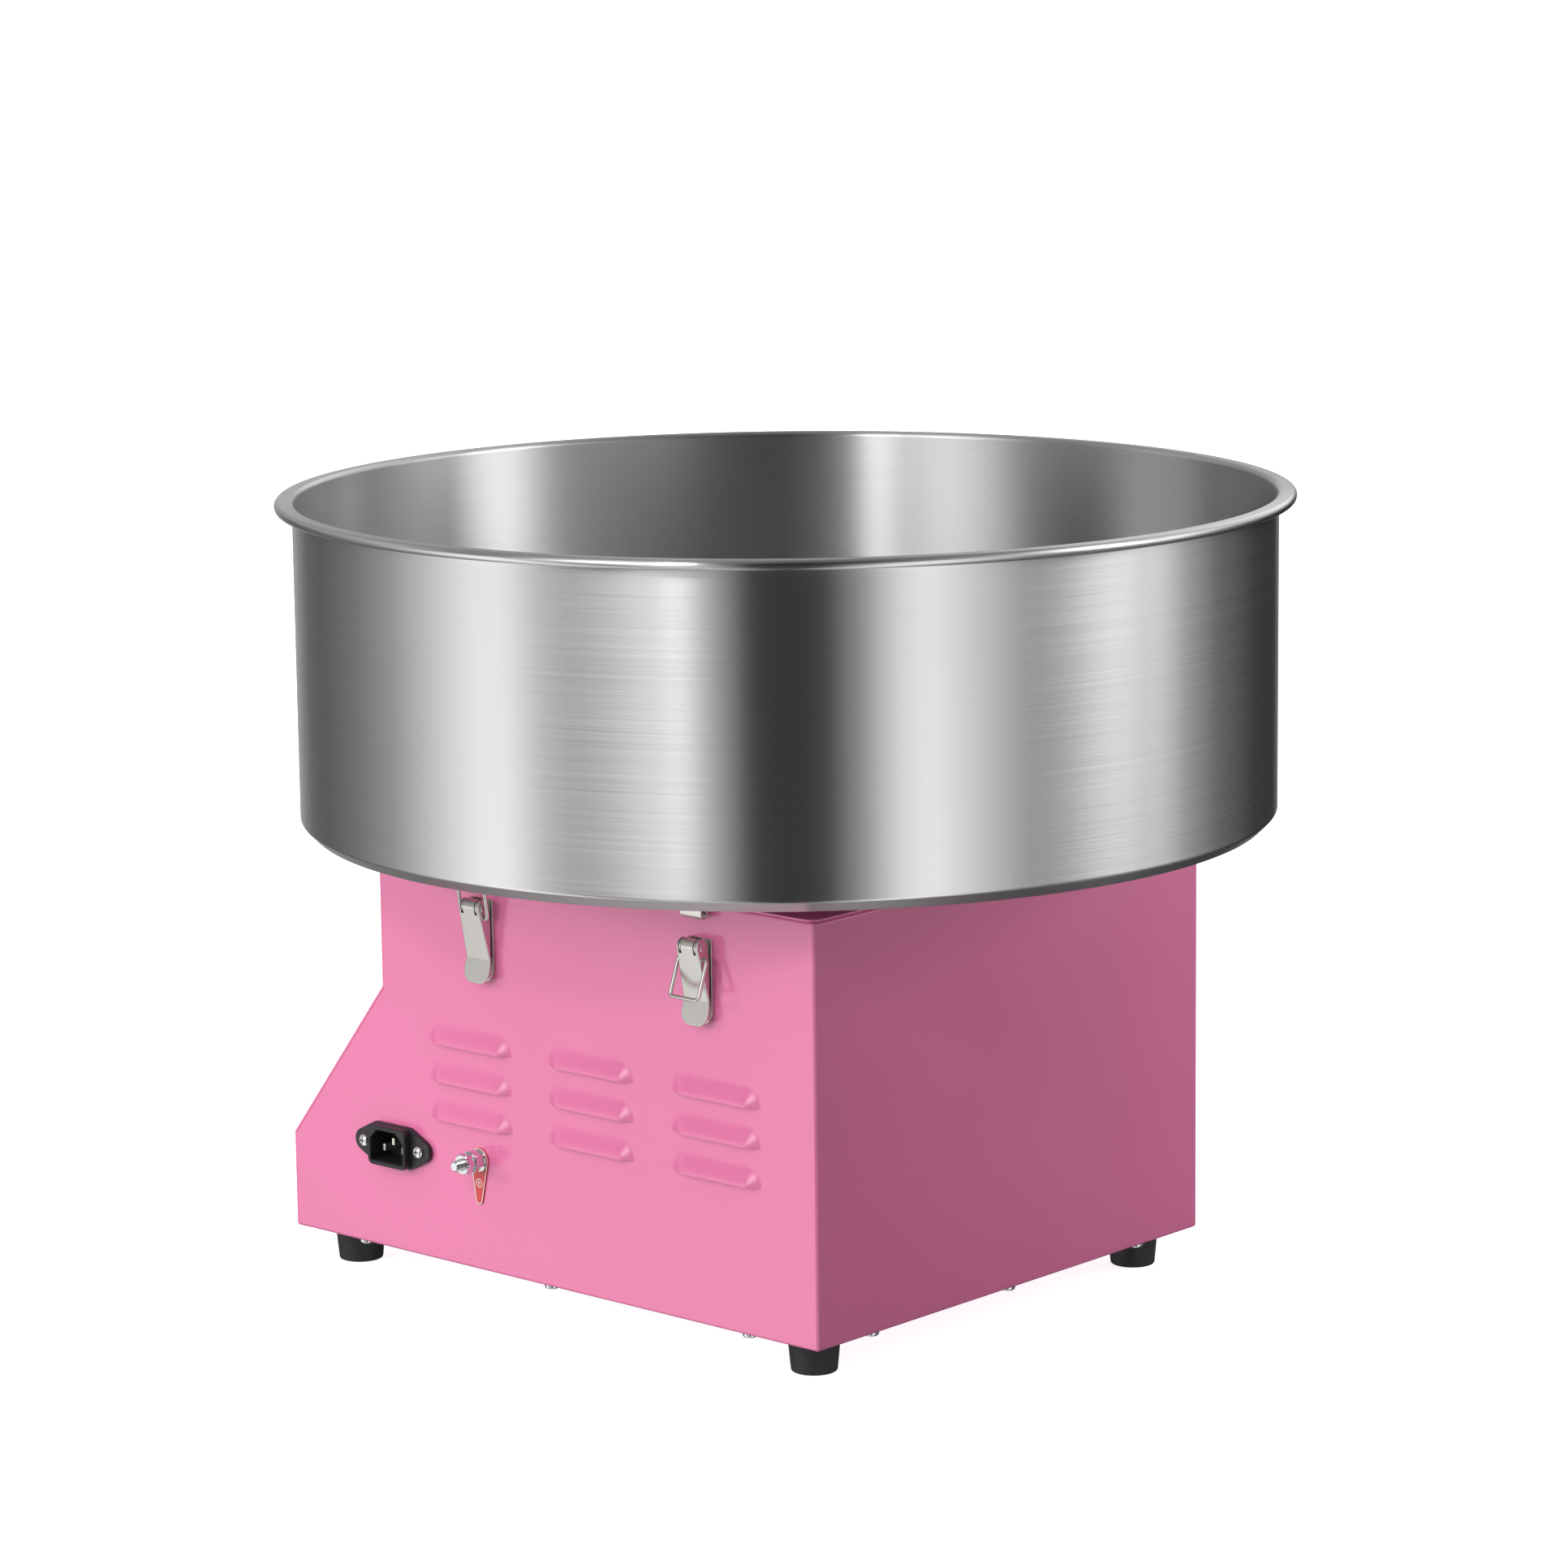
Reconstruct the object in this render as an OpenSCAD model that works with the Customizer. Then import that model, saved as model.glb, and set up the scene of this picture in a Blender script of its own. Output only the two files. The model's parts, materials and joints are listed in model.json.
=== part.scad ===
// Table-top cotton candy machine: a folded sheet case with a control apron, a spinning head
// driven by a motor hung under the case top, and a lift-off steel bowl held by four toggle latches.
// Frame: +Z up, the operator stands at -Y, and the origin is on the floor below the head's axis.

/* [Case] */
// Width of the case, side to side
case_w = 300; // [290:1:310]
// Depth of the upper box that carries the bowl
box_d = 300; // [290:1:310]
// How far the control apron reaches forward of the upper box
apron_d = 70; // [55:1:85]
// Height of the case's lower edge above the floor
case_z = 18.5; // [15:0.5:22]
// Height where the apron starts to slope
slope_z0 = 69.5; // [64:0.5:74]
// Height where the slope meets the upper box
slope_z1 = 158; // [150:0.5:164]
// Height of the case's top edge
case_top = 231; // [229:0.5:233]
// Thickness of the case's sheet steel
case_t = 1; // [0.8:0.1:1.2]
// Width of the flanges folded inwards along the case's edges
flange_w = 9.5; // [8:0.1:9.6]
// Gap between the case's edge and the plate on its top
top_inset = 4; // [3:0.5:6]
// Thickness of the plate on the case's top
top_t = 1.2; // [1:0.1:1.5]

/* [Louvres] */
// Length of one louvre
louvre_len = 56; // [50:1:60]
// Distance between columns of louvres
louvre_pitch_y = 85; // [75:1:90]
// Distance between rows of louvres
louvre_pitch_z = 20; // [18:0.5:24]
// Height of the lowest row's slot
louvre_z0 = 94.4; // [85:0.1:100]
// Radius of the pressed louvre's section
louvre_r = 9.5; // [8:0.5:11]
// How far the louvre's axis lies behind the outer face
louvre_sink = 5; // [4:0.5:6]

/* [Bowl] */
// Outer radius of the rolled rim
rim_r = 260; // [256:1:264]
// Outer radius of the wall
wall_r = 251; // [248:0.5:253]
// Height of the rim's top above the floor
rim_top = 412.5; // [400:0.5:430]
// Height of the outer floor's underside
floor_z = 243.7; // [241:0.1:246]
// Size of the chamfer between the wall and the floor
bowl_chamfer = 5.8; // [4:0.1:8]
// Thickness of the bowl's sheet
bowl_t = 0.9; // [0.7:0.1:1.1]
// Radius of the hole that the head stands in
bowl_hole_r = 94; // [92:1:98]
// Height of the collar's top round that hole
collar_top = 262; // [256:1:266]
// Radius of the flat seat that rests on the case
seat_r = 138; // [130:1:140]

/* [Head] */
// Radius of the spinning head
head_r = 70; // [64:1:74]
// Radius of the drive shaft
shaft_r = 5; // [4:0.5:6]
// Number of slots in the floss screen
screen_slots = 60; // [36:6:72]

/* [Latches] */
// Position of the front latches along the case
latch_y_front = -74; // [-80:0.5:-70]
// Position of the rear latches along the case
latch_y_rear = 76.5; // [70:0.5:80]
// Height of the lever's pivot pin
latch_pin_z = 211; // [209:0.5:213]
// Distance of the pivot pin from the case wall
latch_pin_u = 6.5; // [6:0.1:7]
// Length of the wire bail from its pivot to its crossbar
bail_len = 20.3; // [20:0.1:20.4]
// Outward tilt of a hanging bail from straight down
bail_hang = 20.4; // [15:0.1:25]
// Outward tilt of a raised bail from straight up
bail_raise = 8.5; // [8.5:0.1:12]

/* [Mains inlet and earth] */
// Position of the inlet along the right side
inlet_y = -142; // [-150:1:-136]
// Height of the inlet's centre
inlet_z = 74.8; // [70:0.1:80]
// Position of the earth stud along the right side
earth_y = -80; // [-86:1:-74]
// Height of the earth stud
earth_z = 77; // [70:0.5:82]

/* [Controls] */
// Position of the voltmeter across the apron
meter_x = 0; // [-10:1:10]
// Position of the power switch across the apron
power_x = -104; // [-112:1:-96]
// Position of the heat switch across the apron
heat_x = -62; // [-68:1:-58]
// Position of the heat knob across the apron
knob_x = 88; // [80:1:96]
// Tilt of a rocker from level
rocker_tilt = 9; // [6:1:10]

/* [Hidden] */
$fn = 64;

// Colours
PINK = [0.93, 0.52, 0.70];
STEEL = [0.74, 0.74, 0.75];
NICKEL = [0.80, 0.79, 0.76];
BLACK = [0.09, 0.09, 0.10];
ZINC = [0.82, 0.84, 0.84];
BRASS = [0.80, 0.66, 0.34];

// Case
half_w = case_w / 2;
half_d = box_d / 2;
front_y = -half_d - apron_d;
inner_z = case_z + case_t;
floor_plate_top = inner_z + case_t;
top_z = case_top + top_t;
eps = 0.02;
front_path = [[front_y, case_z], [front_y, slope_z0], [-half_d, slope_z1], [-half_d, case_top]];
slope_angle = atan2(slope_z1 - slope_z0, apron_d);
slope_y = -half_d - apron_d / 2;
slope_z = (slope_z0 + slope_z1) / 2;

// Feet and screws
foot_inset = 24;
foot_x = half_w - foot_inset;
foot_y_front = front_y + foot_inset;
foot_y_rear = half_d - foot_inset;
foot_top_r = 13.3;
foot_base_r = 11.6;
screw_r = 2;
screw_head_r = 3.9;
screw_head_h = 2.2;
floor_screw_inset = 5;
side_screw_y = [-171, -35, 101];
cross_screw_x = [-105, 0, 105];
top_screws = [[142, 60], [60, 142]];
guard_screw_r = 83.5;
guard_t = 0.8;

// Earth stud; the nuts and washers are bored to the root of its thread
stud_r = 3;
stud_root_r = 2.6;
tag_t = 0.8;

// Latch
bail_pivot_u = 5.8;
bail_pivot_z = latch_pin_z - 5.7;
bail_wire_r = 1;
bail_half_w = 9.3;
bail_bend_r = 2;
latch_pin_r = 1.25;
latch_curl_r = 3.9;
lever_t = 0.9;
lever_half_w = 7.5;
lever_bend = [4.2, latch_pin_z - 27.2];
lever_tip = [6.8, latch_pin_z - 39.5];
ear_y = 4.8;
ear_t = 1;
latch_plate_t = 1;
latch_plate_half_w = 7.5;
latch_plate_z0 = latch_pin_z - 39.8;
latch_plate_z1 = latch_pin_z + 3.5;
rivet_z = [latch_pin_z - 32, latch_pin_z - 13];
hook_half_w = 7;
running = 0.05;

// Controls
rocker_z = -2.5;
trunnion_r = 1.5;
needle_pin_r = 0.75;

// Hanging motor and head
motor_r = 46;
motor_z0 = 72;
motor_z1 = 168;
plate_z = 176;
plate_t = 2;
hanger_r = 72;
cap_screw_r = 36;
hanger_angles = [45, 135, 225, 315];
hanger_bolt_r = 3;
damper_r = 8;
damper_h = 9;
ring_z = [188, 204];
ring_h = 6;
ring_r = 17;
pan_z = 266;
pan_t = 2;
screen_r = 62;
screen_z0 = pan_z + pan_t;
screen_h = 28;
lid_z = screen_z0 + screen_h;
element_r = 52;
element_wire_z = 281;
element_tube_r = 3.5;
post_angles = [0, 60, 120, 180, 240, 300];
lid_screw_r = 34;
lid_screw_angles = [30, 150, 270];

// Outline helpers -----------------------------------------------------------------------------

// Points of an arc about c, from angle a0 to a1, in n steps
function arc(c, r, a0, a1, n) =
    [for (i = [0:n]) let (a = a0 + (a1 - a0) * i / n) c + r * [cos(a), sin(a)]];

// Unit normal on the left of the line from a to b
function left_of(a, b) = let (d = (b - a) / norm(b - a)) [-d[1], d[0]];

// Mitred normal at point i of path p
function mitre(p, i) =
    i == 0 ? left_of(p[0], p[1])
    : i == len(p) - 1 ? left_of(p[i - 1], p[i])
    : let (m = left_of(p[i - 1], p[i]), n = left_of(p[i], p[i + 1])) (m + n) / (1 + m * n);

// Path p moved sideways by d
function shifted(p, d) = [for (i = [0:len(p) - 1]) p[i] + d * mitre(p, i)];

// Closed outline of a sheet of thickness t on the left of path p
function sheet(p, t) = let (q = shifted(p, t)) concat(p, [for (i = [len(q) - 1:-1:0]) q[i]]);

// Solid from an outline drawn in Y and Z, running along X from x0 to x1
module along_x(x0, x1) {
    translate([x0, 0, 0]) rotate([90, 0, 90]) linear_extrude(x1 - x0) children();
}

// Solid from an outline drawn in X and Z, running along Y from y0 to y1
module along_y(y0, y1) {
    translate([0, y1, 0]) rotate([90, 0, 0]) linear_extrude(y1 - y0) children();
}

// Box between two corners
module box(a, b) {
    translate(a) cube(b - a);
}

// Flat bar with rounded corners, centred on the Z axis, from z0 to z1
module slab(size, r, z0, z1) {
    x = size[0] / 2 - r;
    y = size[1] / 2 - r;
    translate([0, 0, z0]) linear_extrude(z1 - z0) union() {
        square([size[0], size[1] - 2 * r], center = true);
        square([size[0] - 2 * r, size[1]], center = true);
        for (i = [-1, 1], j = [-1, 1]) translate([i * x, j * y]) circle(r);
    }
}

// Hexagonal prism with the given width across flats
module hex(across, h) {
    cylinder(r = across / 2 / cos(30), h = h, $fn = 6);
}

module nut(across, bore_r, h) {
    difference() {
        hex(across, h);
        translate([0, 0, -1]) cylinder(r = bore_r, h = h + 2);
    }
}

module washer(outer, inner, h) {
    difference() {
        cylinder(r = outer, h = h);
        translate([0, 0, -1]) cylinder(r = inner, h = h + 2);
    }
}

// Pan-head screw whose head's underside is at z = 0, with the head below and the shank above
module pan_screw(head_r, head_h, r, len) {
    rotate_extrude() polygon(concat(
        [[0, len], [r, len], [r, 0], [head_r, 0], [head_r, -head_h * 0.35]],
        arc([head_r - head_h * 0.65, -head_h * 0.35], head_h * 0.65, 0, -90, 6),
        [[head_r * 0.42, -head_h], [head_r * 0.42, -head_h * 0.45], [0, -head_h * 0.45]]));
}

// Both sides of the case
module both_sides() {
    children();
    mirror([1, 0, 0]) children();
}

// Children drawn with x as the distance out from the right wall and y from the latch's middle
module on_side(side, y) {
    mirror([side < 0 ? 1 : 0, 0, 0]) translate([half_w, y, 0]) children();
}

// All four latches
module each_latch() {
    for (side = [1, -1], y = [latch_y_front, latch_y_rear]) on_side(side, y) children();
}

// Children drawn on the sloping apron, x across, y up the slope and z out of its face
module on_slope(x = 0) {
    translate([x, slope_y, slope_z]) rotate([slope_angle, 0, 0]) children();
}

// Case ----------------------------------------------------------------------------------------

// Pressed louvre's dome: a capsule's upper half, lying along Y behind the outer face
module louvre_dome(r) {
    reach = sqrt(louvre_r * louvre_r - louvre_sink * louvre_sink);
    run = louvre_len / 2 - reach;
    intersection() {
        translate([-louvre_sink, 0, 0]) union() {
            rotate([90, 0, 0]) cylinder(r = r, h = 2 * run, center = true);
            for (j = [-1, 1]) translate([0, j * run, 0]) sphere(r);
        }
        box([-case_t, -louvre_len, 0], [louvre_r, louvre_len, 2 * louvre_r]);
    }
}

module each_louvre() {
    both_sides() for (i = [-1:1], k = [0:2])
        translate([half_w, i * louvre_pitch_y, louvre_z0 + k * louvre_pitch_z]) children();
}

module side_wall() {
    along_x(half_w - case_t, half_w) polygon(concat(front_path,
        [[half_d, case_top], [half_d, case_z]]));
}

module side_flanges() {
    inner_x = half_w - case_t;
    box([inner_x - flange_w, -half_d + 2 * case_t, case_top - case_t],
        [inner_x, half_d - case_t, case_top]);
    box([inner_x - flange_w, front_y + 2 * case_t, case_z], [inner_x, half_d - case_t, inner_z]);
    along_x(inner_x - flange_w, inner_x)
        polygon(sheet(shifted(front_path, -case_t), -case_t));
}

module side_wrap() {
    inner_x = half_w - case_t - flange_w;
    color(PINK) difference() {
        union() {
            both_sides() {
                side_wall();
                side_flanges();
            }
            box([-half_w, half_d - case_t, case_z], [half_w, half_d, case_top]);
            box([-inner_x, half_d - case_t - flange_w, case_top - case_t],
                [inner_x, half_d - case_t, case_top]);
            box([-inner_x, half_d - case_t - flange_w, case_z], [inner_x, half_d - case_t, inner_z]);
            each_louvre() louvre_dome(louvre_r);
        }
        each_louvre() louvre_dome(louvre_r - case_t);
        case_screw_holes();
        inlet_cut();
        translate([half_w, earth_y, earth_z]) rotate([0, 90, 0])
            cylinder(r = 3.2, h = 4 * case_t, center = true);
        each_latch() for (z = rivet_z) translate([0, 0, z]) rotate([0, 90, 0])
            cylinder(r = 1.6, h = 4 * case_t, center = true);
    }
}

module front_panel() {
    inner_x = half_w - case_t;
    flat_x = inner_x - flange_w;
    color(PINK) difference() {
        union() {
            along_x(-inner_x, inner_x) polygon(sheet(front_path, -case_t));
            box([-flat_x, -half_d + case_t, case_top - case_t],
                [flat_x, -half_d + case_t + flange_w, case_top]);
            box([-flat_x, front_y + case_t, case_z], [flat_x, front_y + case_t + flange_w, inner_z]);
        }
        case_screw_holes();
        on_slope(meter_x) cylinder(r = 25.5, h = 10, center = true);
        for (x = [power_x, heat_x]) on_slope(x) slab([22.6, 28.6], 1, -5, 5);
        on_slope(knob_x) cylinder(r = 3.6, h = 10, center = true);
    }
}

module top_plate() {
    w = case_w - 2 * top_inset;
    color(PINK) difference() {
        slab([w, box_d - 2 * top_inset], 6.5, case_top, top_z);
        translate([0, 0, case_top - 1]) cylinder(r = 48, h = 4);
        case_screw_holes();
        each_guard_screw() translate([0, 0, -1]) cylinder(r = screw_r, h = 6);
        each_hanger() translate([0, 0, case_top - 1]) cylinder(r = hanger_bolt_r + 0.2, h = 4);
    }
}

module bottom_plate() {
    inner_x = half_w - case_t - 0.3;
    color(PINK) difference() {
        box([-inner_x, front_y + 2 * case_t + 0.3, inner_z],
            [inner_x, half_d - case_t - 0.3, floor_plate_top]);
        case_screw_holes();
        each_foot() cylinder(r = 2.7, h = 60, center = true);
    }
}

// Children drawn at each case screw, with the head's underside at z = 0 and the shank above it
module each_case_screw() {
    for (s = [-1, 1]) {
        for (y = side_screw_y) translate([s * (half_w - floor_screw_inset), y, case_z]) children();
        for (z = [32, 56]) translate([s * (half_w - 6), front_y, z]) rotate([-90, 0, 0]) children();
        for (z = [172, 219]) translate([s * (half_w - 6), -half_d, z]) rotate([-90, 0, 0]) children();
        for (p = top_screws, j = [-1, 1]) translate([s * p[0], j * p[1], top_z])
            rotate([180, 0, 0]) children();
    }
    for (x = cross_screw_x) {
        translate([x, half_d - floor_screw_inset, case_z]) children();
        translate([x, front_y + floor_screw_inset + 1, case_z]) children();
    }
}

module case_screw_holes() {
    each_case_screw() translate([0, 0, -1]) cylinder(r = screw_r, h = 6, $fn = 24);
}

module case_screws() {
    color(ZINC) each_case_screw() pan_screw(screw_head_r, screw_head_h, screw_r, 7, $fn = 24);
}

// Ring that stands on the top plate and keeps sugar threads off the shaft
module guard_ring() {
    ring = [[79, top_z], [89, top_z], [89, 255], [87, 257]];
    color(STEEL) difference() {
        rotate_extrude($fn = 128) polygon(sheet(ring, guard_t));
        each_guard_screw() translate([0, 0, -1]) cylinder(r = screw_r, h = 6);
    }
}

module each_guard_screw() {
    for (a = [0, 120, 240]) rotate(a) translate([guard_screw_r, 0, top_z + guard_t])
        rotate([180, 0, 0]) children();
}

module guard_screws() {
    color(ZINC) each_guard_screw() pan_screw(screw_head_r, screw_head_h, screw_r, 8, $fn = 24);
}

// Feet ----------------------------------------------------------------------------------------

module each_foot() {
    for (x = [-foot_x, foot_x], y = [foot_y_front, foot_y_rear]) translate([x, y, 0]) children();
}

module feet() {
    color(BLACK) each_foot() rotate_extrude() polygon([
        [2.6, 8], [2.6, inner_z], [foot_top_r - 0.6, inner_z], [foot_top_r, inner_z - 0.6],
        [foot_base_r, 1], [foot_base_r - 1, 0], [6, 0], [6, 8]]);
}

module foot_screws() {
    color(ZINC) each_foot() {
        translate([0, 0, 6.9 + eps]) washer(5.6, 2.55, 1.05);
        translate([0, 0, 6.9]) pan_screw(4.6, 3, 2.5, 20, $fn = 32);
        translate([0, 0, floor_plate_top]) nut(8, 2.52, 4);
    }
}

// Mains inlet and earth -----------------------------------------------------------------------

// Children drawn on the right wall, x towards the rear, y up and z out of the wall
module on_right(y, z) {
    translate([half_w, y, z]) rotate([90, 0, 90]) children();
}

module inlet_outline(w, h, cut) {
    polygon([[-w, -h], [w, -h], [w, h - cut], [w - cut, h], [cut - w, h], [-w, h - cut]]);
}

module inlet_cut() {
    on_right(inlet_y, inlet_z) {
        slab([28.6, 22], 3, -3, 3);
        for (s = [-1, 1]) translate([s * 20, 0, -3]) cylinder(r = 1.7, h = 6);
    }
}

module inlet_body() {
    color(BLACK) on_right(inlet_y, inlet_z) difference() {
        union() {
            linear_extrude(3) hull() {
                square([26, 22], center = true);
                for (s = [-1, 1]) translate([s * 21.5, 0]) circle(6, $fn = 48);
            }
            slab([27.6, 21.2], 3, -16, 7.5);
        }
        translate([0, 0, -8]) linear_extrude(17) inlet_outline(11.9, 8.1, 5);
        for (s = [-1, 1]) translate([s * 20, 0, -1]) cylinder(r = 1.7, h = 6);
        for (p = [[-7, -2], [0, 2], [7, -2]]) translate([p[0], p[1], -17])
            slab([2, 4], 0.4, 0, 12);
    }
}

module inlet_pins() {
    color(BRASS) on_right(inlet_y, inlet_z)
        for (p = [[-7, -2], [0, 2], [7, -2]]) translate([p[0], p[1], 0]) slab([2, 4], 0.4, -24, 2);
}

module inlet_screws() {
    color(ZINC) on_right(inlet_y, inlet_z) for (s = [-1, 1]) translate([s * 20, 0, 0]) {
        translate([0, 0, 3]) rotate([180, 0, 0]) pan_screw(3.3, 2.2, 1.6, 8, $fn = 32);
        translate([0, 0, -case_t - 2.5]) nut(5.5, 1.62, 2.5);
    }
}

module earth_stud() {
    color(ZINC) on_right(earth_y, earth_z) {
        translate([0, 0, -case_t - 4]) hex(10, 4);
        translate([0, 0, -case_t - eps]) cylinder(r = stud_root_r - eps, h = 15.3 + eps);
        translate([0, 0, 14.3]) cylinder(r = stud_r, h = 4);
        translate([0, 0, 18.3]) cylinder(r1 = stud_r, r2 = 2.4, h = 0.6);
    }
}

module earth_nuts() {
    color(ZINC) on_right(earth_y, earth_z) {
        translate([0, 0, tag_t]) washer(6, stud_root_r, 1.2);
        translate([0, 0, 7.5]) washer(6, stud_root_r, 1);
        for (z = [2.1, 8.6]) translate([0, 0, z]) nut(10, stud_root_r, 4.9);
    }
}

module earth_tag() {
    color([0.78, 0.16, 0.14]) on_right(earth_y, earth_z) difference() {
        linear_extrude(tag_t) hull() {
            circle(6.4);
            translate([-0.6, -21]) circle(2.6);
        }
        translate([0, 0, -1]) cylinder(r = stud_root_r + 0.1, h = 3);
    }
}

// Latches -------------------------------------------------------------------------------------

module latch_base() {
    difference() {
        union() {
            box([0, -latch_plate_half_w, latch_plate_z0 + latch_plate_half_w],
                [latch_plate_t, latch_plate_half_w, latch_plate_z1]);
            translate([0, 0, latch_plate_z0 + latch_plate_half_w]) rotate([0, 90, 0])
                cylinder(r = latch_plate_half_w, h = latch_plate_t);
            for (s = [-1, 1]) translate([0, s * ear_y, 0]) {
                box([latch_plate_t / 2, -ear_t / 2, latch_pin_z - latch_curl_r],
                    [latch_pin_u, ear_t / 2, latch_pin_z + 3.5]);
                translate([latch_pin_u, 0, latch_pin_z]) rotate([90, 0, 0])
                    cylinder(r = latch_curl_r - 0.1, h = ear_t, center = true);
            }
        }
        translate([latch_pin_u, 0, latch_pin_z]) rotate([90, 0, 0])
            cylinder(r = latch_pin_r + eps, h = 30, center = true);
        for (z = rivet_z) translate([0, 0, z]) rotate([0, 90, 0])
            cylinder(r = 1.6, h = 6, center = true);
    }
}

module latch_bases() {
    color(NICKEL) each_latch() latch_base();
}

module latch_rivets() {
    color(NICKEL) each_latch() {
        translate([latch_pin_u, 0, latch_pin_z]) rotate([90, 0, 0]) {
            cylinder(r = latch_pin_r, h = 15.9, center = true);
            for (s = [-1, 1]) translate([0, 0, s * 7.9]) cylinder(r = 2.1, h = 0.45, center = true);
        }
        for (z = rivet_z) translate([0, 0, z]) rotate([0, 90, 0]) {
            translate([0, 0, -2.2]) cylinder(r = 1.5, h = 3.4);
            translate([0, 0, -2.2]) cylinder(r = 2.6, h = 1.2);
            translate([0, 0, latch_plate_t]) cylinder(r1 = 2.6, r2 = 1.8, h = 0.8);
        }
    }
}

// The lever's outer face from behind the pin, over it and down to the finger tip
function lever_path() = concat(
    arc([latch_pin_u, latch_pin_z], latch_curl_r, 125, -12, 12),
    [lever_bend], [lever_tip]);

module lever() {
    pin = [latch_pin_u, latch_pin_z];
    tab_half_w = 8.7;
    difference() {
        union() {
            intersection() {
                along_y(-10, 10) polygon(sheet(lever_path(), -lever_t));
                union() {
                    box([0, -lever_half_w, lever_bend[1]], [12, lever_half_w, latch_pin_z + 5]);
                    box([0, -tab_half_w, lever_tip[1] + tab_half_w - 1],
                        [12, tab_half_w, lever_bend[1] + eps]);
                    translate([0, 0, lever_tip[1] + tab_half_w - 1]) rotate([0, 90, 0])
                        cylinder(r = tab_half_w, h = 12);
                }
            }
            for (s = [-1, 1]) translate([0, s * (lever_half_w - lever_t / 2), 0])
                along_y(-lever_t / 2, lever_t / 2) union() {
                    translate(pin) circle(latch_curl_r);
                    polygon([pin + [latch_curl_r * cos(12), -latch_curl_r * sin(12)], lever_bend,
                        lever_bend - [lever_t, 0], [2, latch_pin_z - 8], pin - [latch_curl_r, 0]]);
                }
        }
        for (s = [-1, 1]) box([0, s * ear_y - 0.9, latch_pin_z - 3.4],
            [12, s * ear_y + 0.9, latch_pin_z + 6]);
        translate([latch_pin_u, 0, latch_pin_z]) rotate([90, 0, 0])
            cylinder(r = latch_pin_r + running, h = 30, center = true);
        translate([bail_pivot_u, 0, bail_pivot_z]) rotate([90, 0, 0])
            cylinder(r = bail_wire_r + running, h = 30, center = true);
    }
}

module latch_lever(side, y) {
    color(NICKEL) on_side(side, y) lever();
}

// Wire bail pointing along +Z from its pivot at the origin
module bail() {
    straight = bail_half_w - bail_bend_r;
    stub = 5.75;
    for (s = [-1, 1]) mirror([0, s < 0 ? 1 : 0, 0]) {
        translate([0, stub, 0]) rotate([-90, 0, 0]) cylinder(r = bail_wire_r, h = straight - stub);
        translate([0, straight, bail_bend_r]) rotate([90, 0, 90]) rotate(-90) bail_corner();
        translate([0, bail_half_w, bail_bend_r])
            cylinder(r = bail_wire_r, h = bail_len - 2 * bail_bend_r);
        translate([0, straight, bail_len - bail_bend_r]) rotate([90, 0, 90]) bail_corner();
    }
    translate([0, 0, bail_len]) rotate([90, 0, 0])
        cylinder(r = bail_wire_r, h = 2 * straight, center = true);
}

// Quarter bend of the bail's wire, from +X round to +Y
module bail_corner() {
    rotate_extrude(angle = 90) translate([bail_bend_r, 0]) circle(bail_wire_r, $fn = 24);
}

module latch_bail(side, y, angle) {
    color(NICKEL) on_side(side, y) translate([bail_pivot_u, 0, bail_pivot_z])
        rotate([0, angle, 0]) bail();
}

// Hook under the bowl: a strip that hangs outside the case wall and turns up into a J
module bowl_hook() {
    strip = 0.9;
    turn = [4.9, 227.2];
    r = 2.5;
    path = concat([[-12, floor_z - strip], [turn[0] - r, floor_z - strip], turn - [r, 0]],
        arc(turn, r, 195, 345, 8), [turn + [r, 0], turn + [r, 2.4]]);
    along_y(-hook_half_w, hook_half_w) polygon(sheet(path, strip));
}

module bowl_hooks() {
    color(NICKEL) each_latch() bowl_hook();
}

// Bowl ----------------------------------------------------------------------------------------

module bowl() {
    roll = 1.6;
    rim_mid = rim_top - bowl_t - roll;
    nose = rim_r - bowl_t - roll;
    seat_z = top_z + 0.1;
    path = concat(
        [[bowl_hole_r, collar_top]],
        arc([bowl_hole_r + 3, seat_z + 3], 3, 180, 270, 4),
        [[seat_r, seat_z], [seat_r + 11, floor_z], [wall_r - bowl_chamfer, floor_z],
            [wall_r, floor_z + bowl_chamfer]],
        arc([wall_r + roll, rim_mid], roll, 180, 90, 4),
        arc([nose, rim_mid], roll, 90, -90, 8),
        [[wall_r + 0.8, rim_mid - roll]]);
    color(STEEL) rotate_extrude($fn = 180) polygon(sheet(path, bowl_t));
}

// Controls ------------------------------------------------------------------------------------

module voltmeter_case() {
    color(BLACK) on_slope(meter_x) difference() {
        union() {
            slab([64, 54], 3, 0, 9);
            translate([0, 0, -30]) cylinder(r = 25, h = 30 + eps);
        }
        translate([0, 4, 0]) slab([56, 38], 2, 2, 12);
    }
}

// Scale plate, with the pin that the needle turns on
module voltmeter_dial() {
    color("white") on_slope(meter_x) {
        translate([0, 4, 0]) slab([55.6, 37.6], 1.8, 2, 2.6);
        translate([0, -11, 2.5]) cylinder(r = needle_pin_r, h = 3.5);
    }
}

module voltmeter_lens() {
    color([0.8, 0.9, 0.95, 0.3]) on_slope(meter_x) translate([0, 4, 0])
        slab([55.8, 37.8], 1.9, 7.2, 8.4);
}

// The needle turns on a pin at the foot of the dial and points to the left at rest
module voltmeter_needle() {
    color("black") on_slope(meter_x) translate([0, -11, 0]) difference() {
        union() {
            translate([0, 0, 2.9]) cylinder(r = 2.4, h = 2.4);
            rotate([0, 0, 45]) translate([0, 0, 4]) linear_extrude(0.5)
                polygon([[-0.9, -4], [0.9, -4], [0.25, 25], [-0.25, 25]]);
        }
        cylinder(r = needle_pin_r + running, h = 10);
    }
}

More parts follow.
